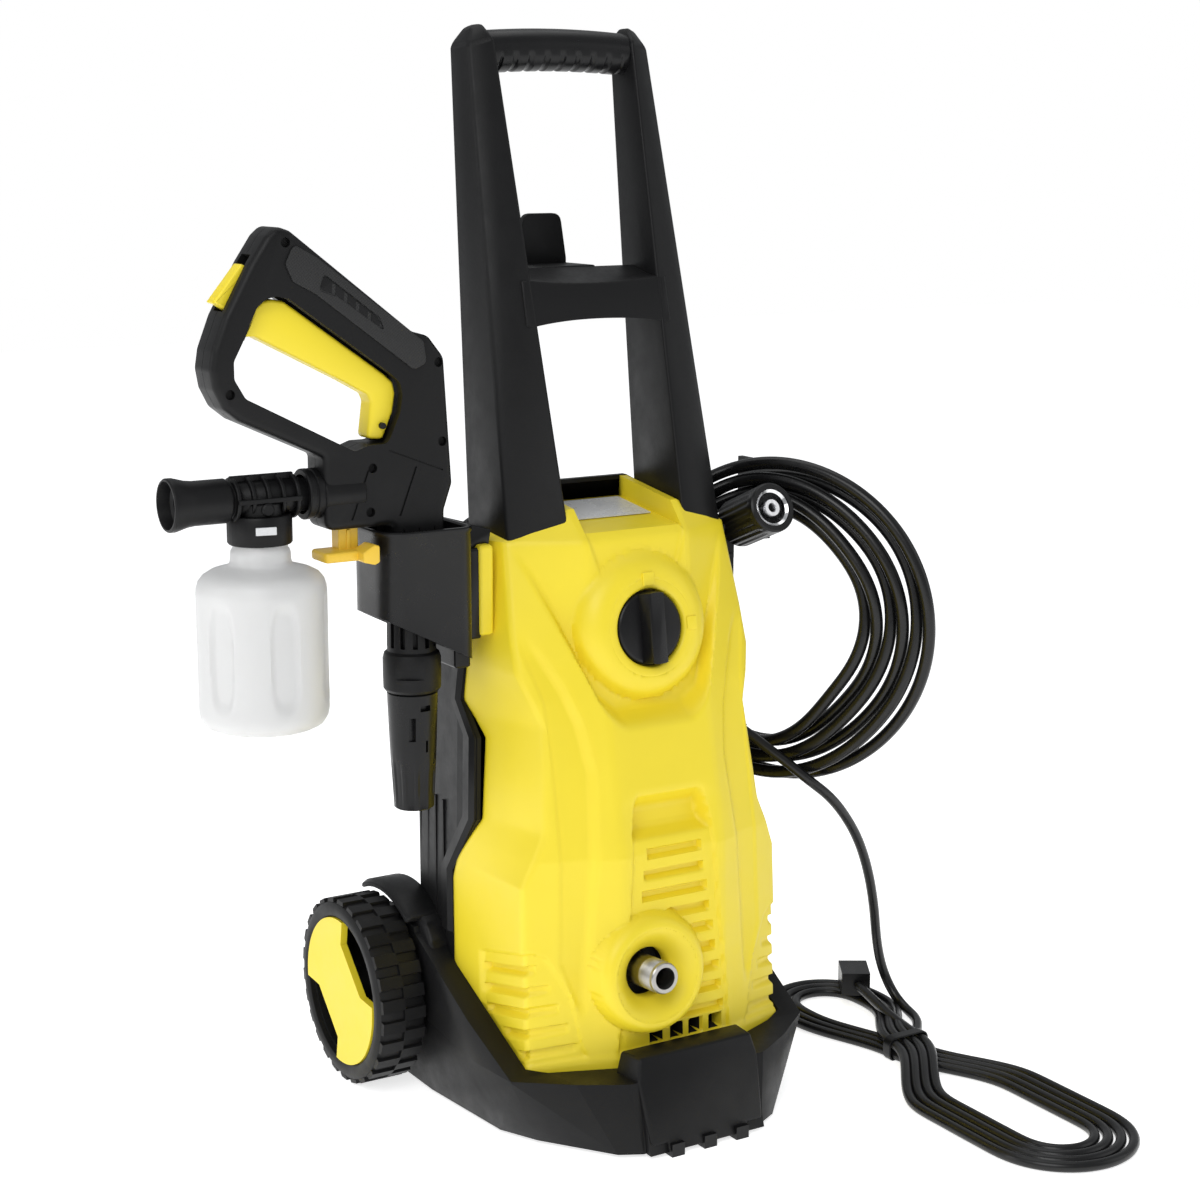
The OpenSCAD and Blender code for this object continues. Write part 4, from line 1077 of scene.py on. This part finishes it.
def holster():
    plan = rounded([(-182, 70, 20), (-118, 70, 12), (-118, 130, 12), (-182, 130, 20)], 13, 12)

    def low(x):
        return 366 - 40 * (x + 190) / 78

    def ring(d, z=None):
        return [(x, y, low(x) + 0.01 if z is None else z) for x, y in inset(plan, d)]

    cup = loft("cup", [ring(0), ring(0, 414.6), ring(-0.7, 415.4), ring(-0.7, 417.4), ring(0, 418.2),
                       ring(2.2, 418.2), ring(3, 417), ring(3)], 30, closed=True)
    flange = bevel(box("flange", (-120, 87.5, 339), (-105, 127, 400)), 2.0, 3)
    arm, brace = [bevel(prism("arm", [(-120, 399), (-97, 399), (-95, 411), (-119, 418)], 1, y0, y1), 0.8)
                  for y0, y1 in ((126, 131), (92, 96))]
    foot = bevel(box("foot", (-124, 90, 320), (-112, 122, 334)), 2.0)
    return join("holster", cup, flange, arm, brace, foot)


piece(holster(), "satin_black", "chassis", "gun_holster")

# ---------- hose connectors, lead ends ----------


def connector(name, place, axis, body, node):
    """Fluted hand nut with a bright seat and a hollow pin."""
    rings = []
    for r, h, depth in ((16.4, 0, 0), (17.6, 1.2, 0), (17.8, 3, 1), (17.9, 38, 1), (18.0, 40.5, 0), (17.8, 45, 0),
                        (16.6, 46, 0)):
        rings.append(round_ring(r - 0.9 * depth * smooth(np.cos(20 * angles(160)), -0.3, 0.5), h))
    shell = cut(loft("shell", rings, 28), rod(13.7, 34, 48, steps=48))
    tail = lathe("tail", [(4.7, -15), (6.2, -15), (7.4, -8), (8, -2), (8, 0.5), (4.7, 0.5), (4.7, -15)], steps=40)
    seat = lathe("seat", [(10.6, 34), (13.65, 34), (13.65, 45), (13.1, 45.4), (11.2, 44), (10.6, 38), (10.6, 34)],
                 steps=64)
    pin = lathe("pin", [(2.9, 33), (6.5, 33), (6.5, 44), (5.9, 45), (3.4, 45), (2.9, 44), (2.9, 33)])
    z = Vector(unit(axis))
    m = Matrix.Translation(Vector(place) * MM) @ z.to_track_quat("Z", "Y").to_matrix().to_4x4()
    nut = join(name, shell, tail)
    for o in (nut, seat, pin):
        o.data.transform(m)
    piece(nut, "satin_black", body, node)
    piece(seat, "chrome", body)
    piece(pin, "chrome", body)


NUT_TILT = radians(22)
connector("near_nut", (118, 112, 394), facing(NUT_TILT), "hose", "hose_nut")
connector("far_nut", (98, 226, 283), (0, 0, -1), "hose", "hose_far_nut")

GLAND = np.array([104.3, 118.4, 257.0])
gland_axis = unit(np.array(LEAD_ROUTE[0]) - GLAND)
grooves = [p for k in range(5) for p in ((8.2 - 0.62 * k, 3 + 4.2 * k), (8.0 - 0.62 * k, 5.4 + 4.2 * k),
                                         (6.6 - 0.5 * k, 5.6 + 4.2 * k), (6.5 - 0.5 * k, 7.0 + 4.2 * k))]
gland = lathe("gland", [(3.75, -8), (9.5, -8), (9.5, 1), (8.4, 2)] + grooves + [(5.0, 25), (3.75, 25.4), (3.75, -8)],
              GLAND, gland_axis, 40)
piece(gland, "lead_rubber", "chassis", "lead_gland", slot="black_plastic")
plan = rounded([(194.6, 0.2), (229.4, 0.2), (229.4, 16.6), (194.6, 16.6)], 6, 6)
strap = loft("strap", [flat_ring(inset(plan, d), 1, y) for d, y in ((0, 19), (-0.9, 19.4), (-0.9, 26.6), (0, 27),
                                                                    (0.3, 26.6), (0.3, 19.4))], 30, closed=True)
piece(strap, "satin_black", "chassis", slot="lead_rubber")

# ---------- piston springs ----------

SPRING_SEAT = 126.0
SPRING_TOP = 142.0
WIRE_R = 0.8
COIL_R = 9.4


def coil_spring(name, middle):
    """A spring of five and a half turns, its end turns lying flat."""
    rings = []
    for t in np.linspace(0, 1, 120):
        a = t * 5.5 * 2 * pi
        z = SPRING_SEAT + WIRE_R + 0.05 + (SPRING_TOP - SPRING_SEAT - 2 * WIRE_R - 0.1) * smooth(t, 0.08, 0.92)
        out = np.array([cos(a), sin(a), 0.0])
        centre = np.array([middle[0], middle[1], z])
        rings.append([centre + out * (COIL_R + WIRE_R * cos(b)) + np.array([0, 0, WIRE_R * sin(b)])
                      for b in angles(8)])
    return loft(name, rings, 60)


for k, letter in enumerate("abc", 1):
    low, high = (np.array(p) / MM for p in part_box("piston_%d" % k))
    spring = coil_spring("spring_%d" % k, (low + high) / 2)
    piece(spring, "steel", "chassis", "piston_spring_%d" % k)
    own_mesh(spring)

# ---------- the nodes that keep their shape ----------

LOOKS = {"alloy": ["pump_casing"], "black": ["rear_cover", "inlet_pipe", "hose_hanger"], "label": ["rating_label"],
         "brass": ["pump_head", "water_inlet", "gun_tube"], "clear": ["suction_tube"],
         "dark_paint": ["motor_housing"], "deep_black": ["gun_screws", "pivot_pins"],
         "grey": ["rotary_switch", "cooling_fan", "capacitor"], "satin_black": ["front_foot", "mains_plug"],
         "steel": ["switch_shaft", "swash_plate", "motor_bearings", "rotor_shaft", "axle", "axle_clips", "piston_1",
                   "piston_2", "piston_3"],
         "yellow": ["hub_cap_left", "hub_cap_right"]}
EDGES = {"front_foot": 0.6, "rear_cover": 1.2, "hub_cap_left": 1.0, "hub_cap_right": 1.0, "hose_hanger": 1.6,
         "mains_plug": 2.0, "water_inlet": 0.6, "rating_label": 0.15}
for look, names in LOOKS.items():
    for name in names:
        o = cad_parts[name]
        o.data.materials.clear()
        o.data.materials.append(MATERIALS[look])
        if name in EDGES:
            bevel(o, EDGES[name], 3, 28)

# ---------- stage ----------

floor = prism("floor", [(-6000, -6000), (6000, -6000), (6000, 6000), (-6000, 6000)], 2, -20.0, 0.0)
_, shader = nodes_of("floor")
shader.inputs["Base Color"].default_value = (0.93, 0.93, 0.93, 1.0)
shader.inputs["Roughness"].default_value = 0.7
shader.inputs["Emission Color"].default_value = (1.0, 1.0, 1.0, 1.0)
shader.inputs["Emission Strength"].default_value = 0.72
floor.data.materials.append(MATERIALS["floor"])
world = bpy.data.worlds.new("world")
bpy.context.scene.world = world
world.use_nodes = True
tree = world.node_tree
backdrop = tree.nodes["Background"]
backdrop.inputs["Color"].default_value = (1.0, 1.0, 1.0, 1.0)
backdrop.inputs["Strength"].default_value = 1.0
ambient = tree.nodes.new("ShaderNodeBackground")
ambient.inputs["Color"].default_value = (0.96, 0.98, 1.0, 1.0)
ambient.inputs["Strength"].default_value = 0.42
rays = tree.nodes.new("ShaderNodeLightPath")
either = tree.nodes.new("ShaderNodeMixShader")
tree.links.new(rays.outputs["Is Camera Ray"], either.inputs[0])
tree.links.new(ambient.outputs[0], either.inputs[1])
tree.links.new(backdrop.outputs[0], either.inputs[2])
tree.links.new(either.outputs[0], tree.nodes["World Output"].inputs["Surface"])


def light(name, place, aim, size, power, colour=(1.0, 1.0, 1.0)):
    data = bpy.data.lights.new(name, "AREA")
    data.shape = "RECTANGLE"
    data.size, data.size_y = size
    data.energy = power
    data.color = colour
    o = link(name, data)
    o.location = place
    o.rotation_euler = (Vector(aim) - Vector(place)).to_track_quat("-Z", "Y").to_euler()


light("key", (-1.7, -1.5, 2.1), (0.0, 0.05, 0.35), (1.6, 1.6), 30.0)
light("fill", (1.9, -1.3, 1.2), (0.0, 0.05, 0.3), (1.4, 1.8), 5.0)
light("top", (0.1, 0.6, 2.4), (0.0, 0.05, 0.3), (2.0, 1.4), 10.0)
light("strip", (-2.2, 0.5, 0.9), (0.0, 0.05, 0.4), (0.5, 1.8), 8.0)
bpy.context.scene.view_settings.view_transform = "Standard"
